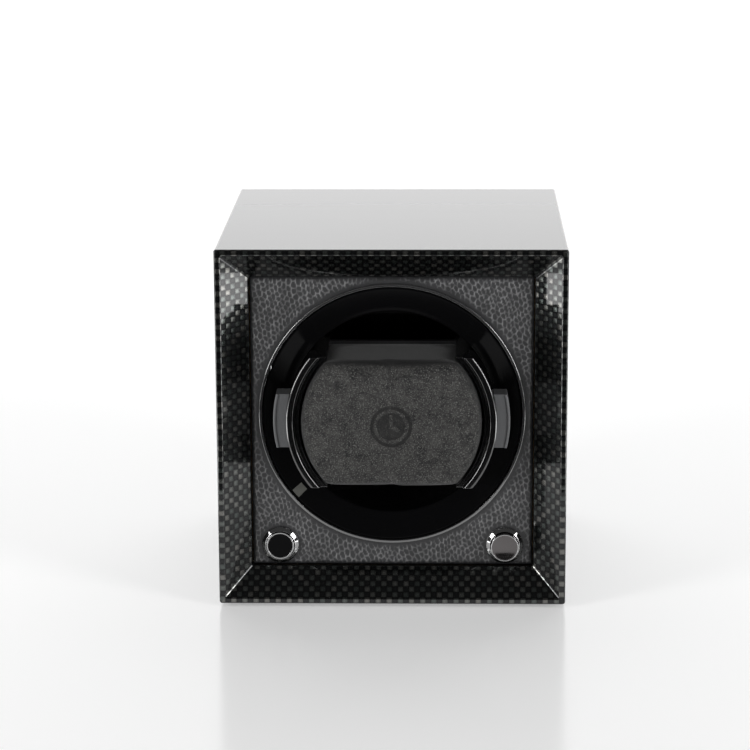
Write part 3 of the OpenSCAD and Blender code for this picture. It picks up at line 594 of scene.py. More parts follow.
def scuffs():
    """Node group: faint hairlines and finger haze for polished plastic and metal."""
    made = bpy.data.node_groups.new("handling_marks", "ShaderNodeTree")
    made.interface.new_socket("Place", in_out="INPUT", socket_type="NodeSocketVector")
    made.interface.new_socket("Polish", in_out="INPUT", socket_type="NodeSocketFloat")
    made.interface.new_socket("Haze", in_out="INPUT", socket_type="NodeSocketFloat")
    made.interface.new_socket("Roughness", in_out="OUTPUT", socket_type="NodeSocketFloat")
    made.interface.new_socket("Height", in_out="OUTPUT", socket_type="NodeSocketFloat")
    inside = graph(made)
    given = inside.node("NodeGroupInput")
    result = inside.node("NodeGroupOutput")
    cloudy = inside.noise(given.outputs["Place"], 60, 4, 0.6)
    hair = inside.noise(inside.stretch(given.outputs["Place"], (300, 300, 4000)), 1.0, 3, 0.6)
    spread = inside.math("MULTIPLY", inside.between(cloudy, 0.45, 0.75), given.outputs["Haze"])
    inside.put(result.inputs["Roughness"], inside.math("ADD", given.outputs["Polish"], spread))
    inside.put(result.inputs["Height"], hair)
    return made


handling = scuffs()


def polished(g, shader, polish, haze, hair):
    """Places the handling marks in a material."""
    marks = g.node("ShaderNodeGroup", node_tree=handling)
    g.put(marks.inputs["Place"], g.place())
    marks.inputs["Polish"].default_value = polish
    marks.inputs["Haze"].default_value = haze
    g.put(shader.inputs["Roughness"], marks.outputs["Roughness"])
    g.put(shader.inputs["Normal"], g.bump(marks.outputs["Height"], hair, 0.3))


gloss_black, g, shader = material("gloss_black", (0.003, 0.003, 0.0033), 0.06, Specular_IOR_Level=0.07)
polished(g, shader, 0.16, 0.1, 0.000004)
ring_front_d = (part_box("bezel_ring")[0].y - front_y) / MM
ring_back_d = (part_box("bezel_ring")[1].y - front_y) / MM
ring_outline = eased(
    [(ring_in_r, ring_front_d), (ring_r, ring_front_d), (ring_r, leather_d + 0.05),
     (ring_tube_r, leather_d + 0.05), (ring_tube_r, ring_back_d), (ring_in_r, ring_back_d)],
    [0.25, 1.0, 0.1, 0, 0.1, 0.1], steps=7)
ring_paint, g, shader = material("ring_black", (0.03, 0.03, 0.031), 0.1, 0.0, Specular_IOR_Level=1.0,
                                Coat_Weight=1.0, Coat_Roughness=0.05, Coat_IOR=2.3)
polished(g, shader, 0.1, 0.05, 0.000003)
finish(lathe("ring", ring_outline, 0, rotor_z, 256), "case", ["bezel_ring"], "gloss_black", ring_paint)

# ---------------------------------------------------------------- rotor cup
# One deep injection moulding: a polished dish round the mouth, a straight
# cup behind it, and two drive dogs on the floor that turn the holder.

cup_low, cup_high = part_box("rotor_cup")
cup_r, cup_wall = 35.6, 1.5
flange_r = (cup_high.x - cup_low.x) / 2 / MM
flange_d = (cup_low.y - front_y) / MM
cup_back_d = (cup_high.y - front_y) / MM
cup_floor_d = cup_back_d - 2.5
dish_in_r, dish_in_d = 37.2, flange_d + 2.8
cup_outline = eased(
    [(0.001, cup_back_d), (0.001, cup_floor_d), (cup_r, cup_floor_d), (cup_r, dish_in_d + 0.35),
     (dish_in_r, dish_in_d), (flange_r - 0.5, flange_d), (flange_r, flange_d), (flange_r, flange_d + 1.8),
     (cup_r + cup_wall, dish_in_d + 2.2), (cup_r + cup_wall, cup_back_d)],
    [0, 0, 2.0, 1.2, 0.8, 0.3, 0.2, 0.3, 1.0, 0.5], steps=7)
finish(lathe("cup", cup_outline, 0, rotor_z, 256), "rotor", ["rotor_cup"], "gloss_black", gloss_black)
dog_r, dog_front_d, dog_back_d = 2, cup_floor_d - 3, cup_floor_d + 0.3
dog_outline = eased([(0.001, dog_back_d), (0.001, dog_front_d), (dog_r, dog_front_d), (dog_r, dog_back_d)],
                    [0, 0, 0.5, 0], steps=4)
for side_name, dog_x in (("left", -20), ("right", 20)):
    dog = lathe("drive_dog_" + side_name, dog_outline, dog_x, rotor_z, 40)
    dog.data.materials.append(gloss_black)
    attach(dog, "rotor")

# ---------------------------------------------------------------- index mark
# A small grey strip let into the dish near its rim.

grey_plastic, g, shader = material("grey_plastic", (0.11, 0.112, 0.115), 0.45)
speck = g.noise(g.place(), 3200, 4, 0.7)
g.put(shader.inputs["Base Color"], g.mix(speck, (0.085, 0.087, 0.09, 1), (0.135, 0.137, 0.142, 1)))
g.put(shader.inputs["Normal"], g.bump(speck, 0.00005, 0.6))
mark_paint, g, shader = material("mark_grey", (0.07, 0.07, 0.06), 0.5)
speck = g.noise(g.place(), 2400, 4, 0.7)
g.put(shader.inputs["Base Color"], g.mix(speck, (0.055, 0.056, 0.048, 1), (0.09, 0.09, 0.08, 1)))
g.put(shader.inputs["Normal"], g.bump(speck, 0.00004, 0.5))


def dish_at(r):
    share = (r - dish_in_r) / (flange_r - 0.5 - dish_in_r)
    return dish_in_d - share * (dish_in_d - flange_d)


mark_in_r, mark_out_r = dish_in_r + 3, flange_r - 0.5
mark_outline = eased([(mark_in_r, dish_at(mark_in_r) - 0.1), (mark_out_r, dish_at(mark_out_r) - 0.1),
                      (mark_out_r, dish_at(mark_out_r) + 0.5), (mark_in_r, dish_at(mark_in_r) + 0.5)], 0.12)
mark = lathe("mark", mark_outline, 0, rotor_z, 8, 180 + 40.2 - 2.2, 4.4)
finish(mark, "rotor", ["index_mark"], "grey_plastic", mark_paint)

# ---------------------------------------------------------------- watch holder
# Two curved wings on a round base. The cushion's back plate snaps between the
# wings. The base is a plain ring here: the CAD's two holes for the drive dogs
# are not cut in it, so the dogs stand inside its solid.

holder_black, g, shader = material("holder_black", (0.004, 0.004, 0.0043), 0.1, Specular_IOR_Level=0.5,
                                  Coat_Weight=1.0, Coat_Roughness=0.06, Coat_IOR=1.9)
polished(g, shader, 0.12, 0.06, 0.000003)
wing_half_h = 22.9
wing_in_r, holder_r, bead_r = 31.7, 35.2, 36.05
wing_front_d = (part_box("holder_frame")[0].y - front_y) / MM
base_back_d = (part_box("holder_frame")[1].y - front_y) / MM
base_d = base_back_d - 5
ledge_d = wing_front_d + 1.5
plate_back_d = (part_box("cushion_back_plate")[1].y - front_y) / MM
wing_outline = eased(
    [(wing_in_r, ledge_d), (bead_r - 2.75, ledge_d), (bead_r - 2.45, wing_front_d), (bead_r, wing_front_d),
     (bead_r, 9.4), (holder_r, 10.25), (holder_r, base_d + 2), (holder_r - 2, base_d + 2),
     (holder_r - 2, plate_back_d + 1), (wing_in_r, plate_back_d + 1)],
    [0.45, 0.3, 0.8, 0.8, 0.3, 0.3, 0, 0, 0.3, 0.3], steps=6)


def soften(made, width, segments=3, angle=50):
    bevel = made.modifiers.new("soft_edges", "BEVEL")
    bevel.width = width
    bevel.segments = segments
    bevel.limit_method = "ANGLE"
    bevel.angle_limit = math.radians(angle)
    return made


def level_piece(name, outline, side, half_h, rows):
    """An arc of the outline, cut level at its ends. Each row follows the round at its own height."""
    heights = [half_h * (2 * k / rows - 1) for k in range(rows + 1)]
    points = [place(side * math.sqrt(r * r - h * h), d, rotor_z + h) for h in heights for r, d in outline]
    faces = walls(rows, len(outline), rows + 1) + ends(len(outline), rows + 1)
    return piece(name, points, faces, sharp=50)


for side_name, side in (("right", 1), ("left", -1)):
    wing = soften(level_piece("wing_" + side_name, wing_outline, side, wing_half_h, 56), 0.5, 4)
    wing.data.materials.append(holder_black)
    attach(wing, "holder")
base_r, base_bore_r = holder_r - 0.2, 8
base_outline = eased(
    [(base_bore_r, base_d), (base_r, base_d), (base_r, base_back_d), (base_bore_r, base_back_d)], 0.5)
holder_base = lathe("holder_base", base_outline, 0, rotor_z, 128)
finish(holder_base, "holder", ["holder_frame"], "gloss_black", holder_black)

# Grips beside the wings: satin moulded tabs with a thin raised outer lip,
# by which the holder is pulled out of the cup.

tab_half_h = 9.4
tab_in_r, tab_out_r = bead_r + 0.03, bead_r + 4.5
tab_outline = eased(
    [(tab_in_r, 0.8), (tab_out_r - 0.95, 0.8), (tab_out_r - 0.85, 0.3), (tab_out_r, 0.3), (tab_out_r, 9.0),
     (tab_in_r, 9.0)],
    [0.1, 0.15, 0.25, 0.35, 0.4, 0.1], steps=4)


def grip_tab(name, side):
    return soften(level_piece(name, tab_outline, side, tab_half_h, 24), 0.35)


finish(grip_tab("tab_left", -1), "holder", ["grip_tab_left"], "grey_plastic", grey_plastic)
finish(grip_tab("tab_right", 1), "holder", ["grip_tab_right"], "grey_plastic", grey_plastic)

# ---------------------------------------------------------------- cushion
# A foam block in dark grey microfibre, held between the wings. The cover is
# puffed by a short cloth simulation; a plain dial sign is pressed into it.

cushion_low, cushion_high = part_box("cushion_cover")
cushion_r = (cushion_high.x - cushion_low.x) / 2 / MM
cushion_half_h = (cushion_high.z - cushion_low.z) / 2 / MM
cushion_front_d = (cushion_low.y - front_y) / MM
cushion_back_d = (cushion_high.y - front_y) / MM


def cushion_limits(x, z):
    """Half height and half width of the cushion's outline at a point, in millimetres."""
    half_h = min(cushion_half_h, math.sqrt(max(cushion_r ** 2 - x * x, 1)))
    return half_h, math.sqrt(max(cushion_r ** 2 - z * z, 1))


def cushion_form(shrink, voxel):
    """A block in the shape of the cut disc, with a rounded front edge, remeshed evenly."""
    r, half_h = cushion_r - shrink, cushion_half_h - shrink
    front, back = cushion_front_d + shrink * 0.7, cushion_back_d - 0.3
    rounds = [(front + 3.2 * (1 - math.cos(math.radians(a))), 3.2 * (1 - math.sin(math.radians(a))))
              for a in range(0, 91, 15)]
    rows = rounds + [(back - 1, 0), (back, 0.4)]
    points = []
    for d, inset in rows:
        here_r, here_h = r - inset, half_h - inset * 0.55
        flat_a = math.asin(here_h / here_r)
        angles = [flat_a * (k / 8 - 1) for k in range(17)]
        arc = [(here_r * math.cos(a), here_r * math.sin(a)) for a in angles]
        points.extend(place(x, d, rotor_z + z) for x, z in arc + [(-x, -z) for x, z in arc])
    size = len(points) // len(rows)
    made = piece("cushion", points, walls(len(rows) - 1, size, len(rows)) + ends(size, len(rows)))
    remesh = made.modifiers.new("even_cloth", "REMESH")
    remesh.mode = "VOXEL"
    remesh.voxel_size = voxel
    return made


def flattened(made):
    """Replaces an object's mesh by its evaluated one and drops the modifiers."""
    shown = bpy.data.meshes.new_from_object(made.evaluated_get(bpy.context.evaluated_depsgraph_get()))
    made.modifiers.clear()
    made.data = shown
    return made


def puff(made, cap):
    """Blows the cover up a little with cloth pressure. No point ends further from its start than cap."""
    start = [vert.co.copy() for vert in made.data.vertices]
    cloth = made.modifiers.new("cloth", "CLOTH")
    cloth.settings.use_pressure = True
    cloth.settings.uniform_pressure_force = 4
    cloth.settings.effector_weights.gravity = 0
    cloth.settings.tension_stiffness = 12
    cloth.settings.bending_stiffness = 1.5
    cloth.settings.quality = 5
    for step in range(1, 21):
        bpy.context.scene.frame_set(step)
    flattened(made)
    bpy.context.scene.frame_set(1)
    for vert, was in zip(made.data.vertices, start):
        move = vert.co - was
        if move.length > cap:
            vert.co = was + move.normalized() * cap
    return made


def sign_depth(x, z):
    """Depth of the pressed sign, from 0 to 1: a plain dial, pressed round a raised ring and two hands."""
    distance = math.hypot(x, z)
    field = 1 - min(1.0, max(0.0, distance - 7.0) / 0.35)
    ring = 1 - min(1.0, max(0.0, abs(distance - 5.4) - 0.45) / 0.3)
    lean = math.radians(-30)
    far, aside = x * math.cos(lean) + z * math.sin(lean), z * math.cos(lean) - x * math.sin(lean)
    minute = 1 - min(1.0, max(0.0, abs(x) - 0.5) / 0.3 + max(0.0, max(-z - 0.6, z - 4.0)) / 0.3)
    hour = 1 - min(1.0, max(0.0, abs(aside) - 0.5) / 0.3 + max(0.0, max(-far - 0.6, far - 3.0)) / 0.3)
    return field * (1 - 0.85 * max(ring, minute, hour))


cushion = flattened(cushion_form(0.5, 0.0016))
puff(cushion, 0.0007)
subdivide = cushion.modifiers.new("smooth", "SUBSURF")
subdivide.levels = subdivide.render_levels = 1
flattened(cushion)
work = bmesh.new()
work.from_mesh(cushion.data)
for detail in range(3):
    near_sign = [
        edge for edge in work.edges
        if all(math.hypot(vert.co.x, vert.co.z - rotor_z * MM) < 0.0082 - 0.0003 * detail
               and vert.co.y < front_y + (cushion_front_d + 4) * MM for vert in edge.verts)
    ]
    bmesh.ops.subdivide_edges(work, edges=near_sign, cuts=1, use_grid_fill=True, smooth=0.0)
pressed = work.verts.layers.float.new("pressed")
painted_side_shade = work.verts.layers.float.new("painted_side_shade")
for vert in work.verts:
    x, z = vert.co.x / MM, vert.co.z / MM - rotor_z
    d = (vert.co.y - front_y) / MM
    vert[painted_side_shade] = min(1.0, max(0.0, (d - cushion_front_d - 1.8) / 1.2))
    if d < cushion_front_d + 4:
        crown = min(1.0, (x / cushion_r) ** 2 * 0.8 + (z / cushion_half_h) ** 2 * 0.25)
        vert[pressed] = sign_depth(x, z)
        d = d + 0.7 * crown + 0.55 * vert[pressed]
    half_h, half_w = cushion_limits(x, z)
    z = max(-half_h, min(half_h, z))
    x = max(-half_w, min(half_w, x))
    vert.co = place(x, min(max(d, cushion_front_d), cushion_back_d), rotor_z + z)
work.to_mesh(cushion.data)
work.free()
cushion.data.shade_smooth()

microfibre, g, shader = material("microfibre", (0.05, 0.05, 0.052), 0.9,
                                 Sheen_Weight=0.12, Sheen_Roughness=0.4)
where = g.place()
nap = g.noise(where, 900, 6, 0.8)
brushed = g.noise(where, 240, 4, 0.6)
fleck = g.noise(where, 2300, 3, 0.6)
tone = g.math("ADD", g.math("MULTIPLY", nap, 0.65), g.math("MULTIPLY", brushed, 0.35))
cloth_color = g.mix(g.between(tone, 0.4, 0.6), (0.005, 0.005, 0.0055, 1), (0.045, 0.044, 0.042, 1))
cloth_color = g.mix(g.between(fleck, 0.55, 0.64, 0, 0.9), cloth_color, (0.12, 0.12, 0.113, 1))
flat_nap = g.node("ShaderNodeAttribute", attribute_name="pressed").outputs["Fac"]
band = g.node("ShaderNodeAttribute", attribute_name="painted_side_shade").outputs["Fac"]
# The cushion's sides behind its front face are painted almost black: painted shade.
cloth_color = g.mix(g.math("MULTIPLY", band, 0.95), cloth_color, (0.003, 0.003, 0.0032, 1))
cloth_color = g.mix(g.math("MULTIPLY", flat_nap, 0.75), cloth_color, (0.004, 0.004, 0.004, 1))
g.put(shader.inputs["Base Color"], cloth_color)
g.put(shader.inputs["Normal"], g.bump(g.math("ADD", nap, g.math("MULTIPLY", fleck, 0.5)), 0.0002, 0.8))
finish(cushion, "holder", ["cushion_cover", "cushion_core"], "microfibre", microfibre)

# ---------------------------------------------------------------- buttons
# Two chromed bezels, with nuts behind the panel. The left cap is gloss black in a
# thin bright rim, and the right one stands further out and is dark metal.

chrome, g, shader = material("chrome", (0.5, 0.5, 0.5), 0.04, 1.0)
polished(g, shader, 0.03, 0.04, 0.000002)
dark_metal, g, shader = material("dark_metal", (0.17, 0.16, 0.16), 0.1, 1.0)
polished(g, shader, 0.12, 0.06, 0.000003)
bezel_r, bezel_bore_r, bezel_barrel_r = 6.55, 4.95, 5.6
bezel_front_d = (button_low.y - front_y) / MM
bezel_back_d = (button_high.y - front_y) / MM
bezel_outline = eased(
    [(bezel_bore_r, bezel_front_d + 0.35), (bezel_bore_r + 0.2, bezel_front_d),
     (bezel_r - 0.25, leather_d - 0.85), (bezel_r, leather_d - 0.5),
     (bezel_r, leather_d + 0.1), (bezel_barrel_r, leather_d + 0.1),
     (bezel_barrel_r, bezel_back_d), (bezel_bore_r, bezel_back_d)],
    [0.12, 0.15, 0.25, 0.2, 0.1, 0, 0.1, 0.1], steps=5)
cap_back_d = leather_d + 2.5
stem_back_d = (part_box("left_button_cap")[1].y - front_y) / MM


def button_cap(name, x, front_d, rim, hollow, face_paint, rim_paint, body, node, slot):
    """A turned cap on its stem, with a rounded rim. Its face dips by hollow at the middle."""
    r = bezel_bore_r - 0.1
    face_r = r - rim
    face = [(max(0.001, face_r * k / 8), front_d + 0.12 + hollow * (1 - (k / 8) ** 2)) for k in range(9)]
    edge = eased([(face_r + 0.03, front_d + 0.12), (face_r + 0.09, front_d), (r, front_d), (r, cap_back_d),
                  (1.6, cap_back_d), (1.6, stem_back_d), (0.001, stem_back_d)],
                 [0, 0.04, 0.35, 0.2, 0, 0.2, 0], steps=5)
    made = lathe(name, face + edge, x, button_z, 128)
    finish(made, body, [node], slot, rim_paint, face_paint)
    for side_face in made.data.polygons:
        ends = [made.data.vertices[i].co for i in side_face.vertices]
        inside = all(math.hypot(end.x / MM - x, end.z / MM - button_z) < face_r + 0.01 for end in ends)
        if inside and side_face.center.y < front_y + (front_d + 1) * MM:
            side_face.material_index = 1
    return made


for side_name, side in (("left", -1), ("right", 1)):
    bezel = lathe(side_name + "_bezel", bezel_outline, side * button_x, button_z, 128)
    finish(bezel, "case", [side_name + "_button_bezel"], "chrome", chrome)
left_front_d = (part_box("left_button_cap")[0].y - front_y) / MM
right_front_d = (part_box("right_button_cap")[0].y - front_y) / MM
button_cap("left_cap", -button_x, left_front_d, 0.55, 0.0, gloss_black, chrome,
           "left_button", "left_button_cap", "gloss_black")
button_cap("right_cap", button_x, right_front_d, 0.4, 0.5, dark_metal, chrome,
           "right_button", "right_button_cap", "button_metal")

# ---------------------------------------------------------------- back
# A painted fibreboard cover let into the back with four countersunk screws,
# five vent slots and the power jack with its nickel pin.

back_paint, g, shader = material("back_paint", (0.02, 0.02, 0.02), 0.6)
orange_peel = g.noise(g.place(), 900, 4, 0.6)
g.put(shader.inputs["Base Color"], g.mix(orange_peel, (0.013, 0.013, 0.013, 1), (0.026, 0.026, 0.027, 1)))
g.put(shader.inputs["Roughness"], g.between(orange_peel, 0.3, 0.7, 0.45, 0.7))
g.put(shader.inputs["Normal"], g.bump(orange_peel, 0.00012, 0.7))
finish(cad_copy("back_board", "back_cover", 0.0003), "case", ["back_cover"], "matte_black", back_paint)

jack_low, jack_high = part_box("power_jack")
jack_x, jack_z = (jack_low.x + jack_high.x) / 2 / MM, (jack_low.z + jack_high.z) / 2 / MM
jack_front_d, jack_back_d = (jack_low.y - front_y) / MM, (jack_high.y - front_y) / MM
moulded, g, shader = material("moulded_black", (0.018, 0.018, 0.019), 0.42)
speck = g.noise(g.place(), 2600, 4, 0.7)
g.put(shader.inputs["Roughness"], g.between(speck, 0.3, 0.7, 0.32, 0.55))
g.put(shader.inputs["Normal"], g.bump(speck, 0.00003, 0.5))
jack_outline = eased(
    [(0.001, jack_front_d), (5.5, jack_front_d), (5.5, jack_back_d - 1), (7, jack_back_d - 1),
     (7, jack_back_d), (2.9, jack_back_d), (2.9, jack_back_d - 10), (0.001, jack_back_d - 10)],
    [0, 0.3, 0, 0.2, 0.4, 0.35, 0.2, 0], steps=4)
finish(lathe("jack", jack_outline, jack_x, jack_z, 96), "case", ["power_jack"], "matte_black", moulded)

nickel, g, shader = material("nickel", (0.72, 0.7, 0.66), 0.18, 1.0)
polished(g, shader, 0.14, 0.08, 0.000003)
pin_foot_d, pin_tip_d = jack_back_d - 13.9, jack_back_d - 1.5
pin_outline = eased([(0.001, pin_foot_d), (1, pin_foot_d), (1, pin_tip_d), (0.001, pin_tip_d)],
                    [0, 0, 0.5, 0], steps=5)
finish(lathe("jack_pin", pin_outline, jack_x, jack_z, 48), "case", ["power_jack_pin"], "steel", nickel)

# ---------------------------------------------------------------- screws
# Machine screws with a hex socket, black on the back cover and zinc-plated
# on the mechanism plate. One geometry tree sets a screw on each hole.

zinc, g, shader = material("zinc_plate", (0.5, 0.51, 0.53), 0.3, 1.0)
streak = g.noise(g.stretch(g.place(), (900, 60, 900)), 1.0, 3, 0.6)
g.put(shader.inputs["Base Color"], g.mix(streak, (0.38, 0.39, 0.41, 1), (0.6, 0.6, 0.61, 1)))
g.put(shader.inputs["Roughness"], g.between(streak, 0.3, 0.7, 0.22, 0.42))
black_steel, g, shader = material("black_steel", (0.03, 0.03, 0.032), 0.35, 0.8)
polished(g, shader, 0.3, 0.15, 0.000004)


def screw_shape(name, outline, socket_r, socket_d, deep):
    """A screw along +Y with its head's face at the origin and a six-sided socket cut in it."""
    steps = 24
    points = [(r * math.cos(2 * math.pi * k / steps), y, r * math.sin(2 * math.pi * k / steps))
              for k in range(steps) for r, y in outline]
    size = len(outline)
    faces = [(k * size + i, k * size + i + 1, (k + 1) % steps * size + i + 1, (k + 1) % steps * size + i)
             for k in range(steps) for i in range(size - 1)]
    first = len(points)
    for depth in (0.0, deep):
        for k in range(steps):
            a = 2 * math.pi * k / steps
            sector = (a + math.pi / 6) % (math.pi / 3) - math.pi / 6
            r = socket_r * math.cos(math.pi / 6) / math.cos(sector)
            points.append((r * math.cos(a), socket_d - depth, r * math.sin(a)))
    for k in range(steps):
        n = (k + 1) % steps
        faces.append((k * size + size - 1, first + k, first + n, n * size + size - 1))
        faces.append((first + k, first + steps + k, first + steps + n, first + n))
    faces.append([first + steps + k for k in range(steps)])
    faces.append([k * size for k in range(steps)])
    mesh = bpy.data.meshes.new(name)
    mesh.from_pydata([Vector(p) * MM for p in points], [], faces)
    work = bmesh.new()
    work.from_mesh(mesh)
    bmesh.ops.remove_doubles(work, verts=work.verts, dist=1e-7)
    bmesh.ops.recalc_face_normals(work, faces=work.faces)
    work.to_mesh(mesh)
    work.free()
    mesh.shade_smooth()
    mesh.set_sharp_from_angle(angle=math.radians(35))
    return bpy.data.objects.new(name, mesh)


def set_pieces_tree():
    """Geometry tree: a copy of one shape on every point, turned about the depth axis and made one mesh."""
    tree = bpy.data.node_groups.new("set_on_points", "GeometryNodeTree")
    tree.interface.new_socket("Geometry", in_out="INPUT", socket_type="NodeSocketGeometry")
    tree.interface.new_socket("Shape", in_out="INPUT", socket_type="NodeSocketObject")
    tree.interface.new_socket("Turn", in_out="INPUT", socket_type="NodeSocketFloat")
    tree.interface.new_socket("Seed", in_out="INPUT", socket_type="NodeSocketInt")
    tree.interface.new_socket("Finish", in_out="INPUT", socket_type="NodeSocketMaterial")
    tree.interface.new_socket("Geometry", in_out="OUTPUT", socket_type="NodeSocketGeometry")
    inside = graph(tree)
    given = inside.node("NodeGroupInput")
    result = inside.node("NodeGroupOutput")
    shape = inside.node("GeometryNodeObjectInfo")
    inside.put(shape.inputs["Object"], given.outputs["Shape"])
    setter = inside.node("GeometryNodeInstanceOnPoints")
    inside.put(setter.inputs["Points"], given.outputs["Geometry"])
    inside.put(setter.inputs["Instance"], shape.outputs["Geometry"])
    chance = inside.node("FunctionNodeRandomValue", data_type="FLOAT")
    inside.put(chance.inputs["Seed"], given.outputs["Seed"])
    angle = inside.math("MULTIPLY", chance.outputs[1], given.outputs["Turn"])
    turned = inside.node("ShaderNodeCombineXYZ")
    inside.put(turned.inputs[1], angle)
    inside.put(setter.inputs["Rotation"], turned.outputs[0])
    real = inside.node("GeometryNodeRealizeInstances")
    inside.put(real.inputs[0], setter.outputs[0])
    painted = inside.node("GeometryNodeSetMaterial")
    inside.put(painted.inputs["Geometry"], real.outputs[0])
    inside.put(painted.inputs["Material"], given.outputs["Finish"])
    inside.put(result.inputs[0], painted.outputs[0])
    return tree


set_on_points = set_pieces_tree()


def set_pieces(name, places, shape, seed, paint, body, replaced):
    """Runs the tree on the given points and keeps its result as one plain mesh."""
    mesh = bpy.data.meshes.new(name)
    mesh.from_pydata(places, [], [])
    made = bpy.data.objects.new(name, mesh)
    bpy.context.scene.collection.objects.link(made)
    modifier = made.modifiers.new("set", "NODES")
    modifier.node_group = set_on_points
    values = {"Shape": shape, "Turn": 2 * math.pi, "Seed": seed, "Finish": paint}
    for item in set_on_points.interface.items_tree:
        if item.in_out == "INPUT" and item.name in values:
            modifier[item.identifier] = values[item.name]
    flattened(made)
    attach(made, body)
    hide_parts(*replaced)
    return made


flat_outline = [(0.001, -12), (0.9, -12), (1.25, -11.4), (1.25, -1.5), (2.25, -0.12), (2.15, 0)]
flat_head = screw_shape("flat_screw", flat_outline, 1.1, 0.0, 0.8)
pan_outline = [(0.001, -9.8), (0.9, -9.8), (1.25, -9.2), (1.25, 0), (2.3, 0.02), (2.3, 0.75),
               (2.15, 1.15), (1.7, 1.45)]
pan_head = screw_shape("pan_screw", pan_outline, 1.1, 1.5, 0.9)
block_in = 5.0
cover_d = (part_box("back_cover")[1].y - front_y) / MM
open_half_w = case_w / 2 - board_t
open_half_h = (case_high.z - case_low.z) / MM / 2 - board_t
cover_places = [place(sx * (open_half_w - block_in), cover_d, mid_z + sz * (open_half_h - block_in))
                for sx in (-1, 1) for sz in (-1, 1)]
set_pieces("cover_screws", cover_places, flat_head, 4, black_steel, "case", ["back_cover_screws"])
plate_low, plate_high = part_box("plate_screws")
plate_d = (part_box("mechanism_plate")[1].y - front_y) / MM
plate_places = [place(sx * (plate_high.x / MM - 2.3), plate_d, z)
                for sx in (-1, 1) for z in (plate_low.z / MM + 2.3, plate_high.z / MM - 2.3)]
set_pieces("plate_bolts", plate_places, pan_head, 7, zinc, "case", ["plate_screws"])

# ---------------------------------------------------------------- mechanism
# Sheet-metal plate, turned bearing block, ball bearings, gear motor, belt,
# pulleys and circuit board. They keep their CAD shapes and get real finishes.

aluminium, g, shader = material("aluminium", (0.6, 0.61, 0.63), 0.35, 1.0)
streak = g.noise(g.stretch(g.place(), (60, 60, 2400)), 1.0, 3, 0.6)
g.put(shader.inputs["Roughness"], g.between(streak, 0.3, 0.7, 0.28, 0.45))
g.put(shader.inputs["Normal"], g.bump(streak, 0.00002, 0.4))
steel, g, shader = material("steel", (0.56, 0.57, 0.59), 0.25, 1.0)
streak = g.noise(g.stretch(g.place(), (1800, 60, 1800)), 1.0, 3, 0.6)
g.put(shader.inputs["Roughness"], g.between(streak, 0.3, 0.7, 0.16, 0.34))
brass, g, shader = material("brass", (0.72, 0.5, 0.2), 0.25, 1.0)
streak = g.noise(g.stretch(g.place(), (1500, 80, 1500)), 1.0, 3, 0.6)
g.put(shader.inputs["Base Color"], g.mix(streak, (0.62, 0.42, 0.16, 1), (0.8, 0.58, 0.26, 1)))
g.put(shader.inputs["Roughness"], g.between(streak, 0.3, 0.7, 0.18, 0.36))
raw_wood, g, shader = material("raw_wood", (0.5, 0.36, 0.2), 0.8)
chips = g.noise(g.stretch(g.place(), (500, 160, 500)), 1.0, 5, 0.65)
g.put(shader.inputs["Base Color"], g.mix(chips, (0.36, 0.24, 0.13, 1), (0.6, 0.45, 0.28, 1)))
g.put(shader.inputs["Normal"], g.bump(chips, 0.0002, 0.6))
rubber, g, shader = material("rubber", (0.014, 0.014, 0.014), 0.75)
dull = g.noise(g.place(), 2000, 3, 0.6)
g.put(shader.inputs["Roughness"], g.between(dull, 0.3, 0.7, 0.6, 0.85))
white_plastic, g, shader = material("white_plastic", (0.72, 0.71, 0.66), 0.45)
dull = g.noise(g.place(), 1800, 3, 0.6)
g.put(shader.inputs["Base Color"], g.mix(dull, (0.66, 0.65, 0.6, 1), (0.78, 0.77, 0.72, 1)))
g.put(shader.inputs["Roughness"], g.between(dull, 0.3, 0.7, 0.36, 0.55))
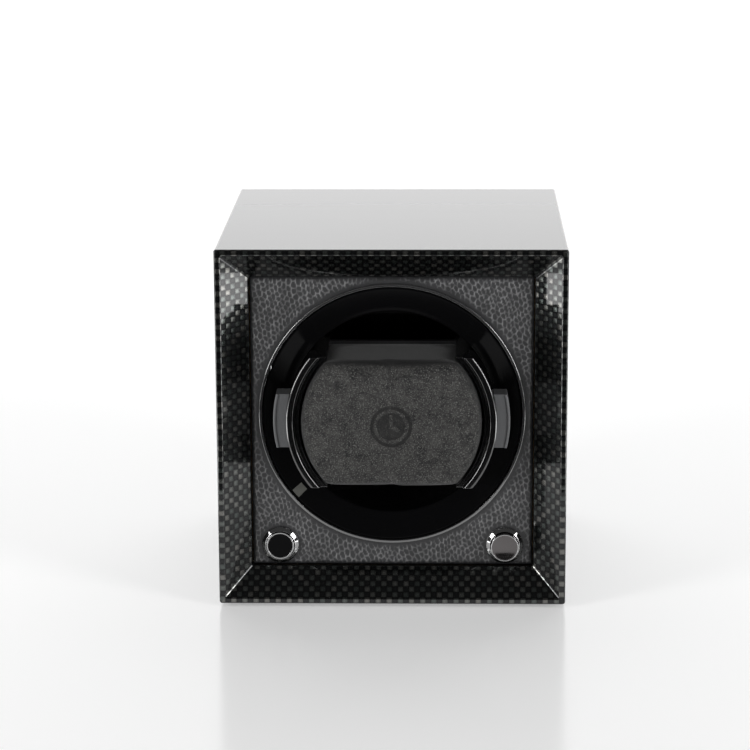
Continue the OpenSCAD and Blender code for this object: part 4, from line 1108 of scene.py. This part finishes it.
board_green, g, shader = material("board_green", (0.012, 0.09, 0.035), 0.3,
                                  Coat_Weight=0.4, Coat_Roughness=0.1)
traces = g.node("ShaderNodeTexBrick")
g.put(traces.inputs["Vector"], g.place())
traces.inputs["Scale"].default_value = 260
traces.inputs["Color1"].default_value = (0.01, 0.08, 0.03, 1)
traces.inputs["Color2"].default_value = (0.012, 0.1, 0.04, 1)
traces.inputs["Mortar"].default_value = (0.03, 0.16, 0.07, 1)
g.put(shader.inputs["Base Color"], traces.outputs["Color"])
red_wire, g, shader = material("red_insulation", (0.35, 0.02, 0.02), 0.35)
dull = g.noise(g.place(), 1500, 3, 0.6)
g.put(shader.inputs["Base Color"], g.mix(dull, (0.28, 0.015, 0.015, 1), (0.42, 0.03, 0.025, 1)))
foam_paint, g, shader = material("foam", (0.55, 0.5, 0.35), 0.95)
dull = g.noise(g.place(), 2500, 4, 0.7)
g.put(shader.inputs["Base Color"], g.mix(dull, (0.4, 0.36, 0.24, 1), (0.66, 0.6, 0.44, 1)))

finishes = {
    "aluminium": aluminium, "steel": steel, "brass": brass, "raw_wood": raw_wood, "belt_rubber": rubber,
    "white_plastic": white_plastic, "circuit_board": board_green, "wire_insulation": red_wire,
    "matte_black": moulded, "gloss_black": gloss_black, "grey_plastic": grey_plastic, "foam": foam_paint,
    "felt": felt, "leather": leather, "chrome": chrome, "microfibre": microfibre,
    "button_metal": dark_metal, "carbon_lacquer": carbon,
}

# ---------------------------------------------------------------- return springs
# A coil of steel wire behind each button cap. Its back end rests on the switch.

spring_ease = 0.0001
for side_name in ("left", "right"):
    node = side_name + "_button_spring"
    spring = cad_copy("coil_" + side_name, node, spring_ease, 1, 80)
    flattened(spring)
    finish(spring, "case", [node], "steel", steel)
    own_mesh(spring)

# ---------------------------------------------------------------- inner pieces
# What keeps its CAD shape inside the case gets the finish of its own stuff:
# bare metal, wood, plastic, rubber, insulation or circuit board.

for entry in frame["record"]["subparts"]:
    shown = nodes[entry["node"]]
    if not shown.hide_render:
        shown.data.materials.clear()
        shown.data.materials.append(finishes[entry["material_slot"]])
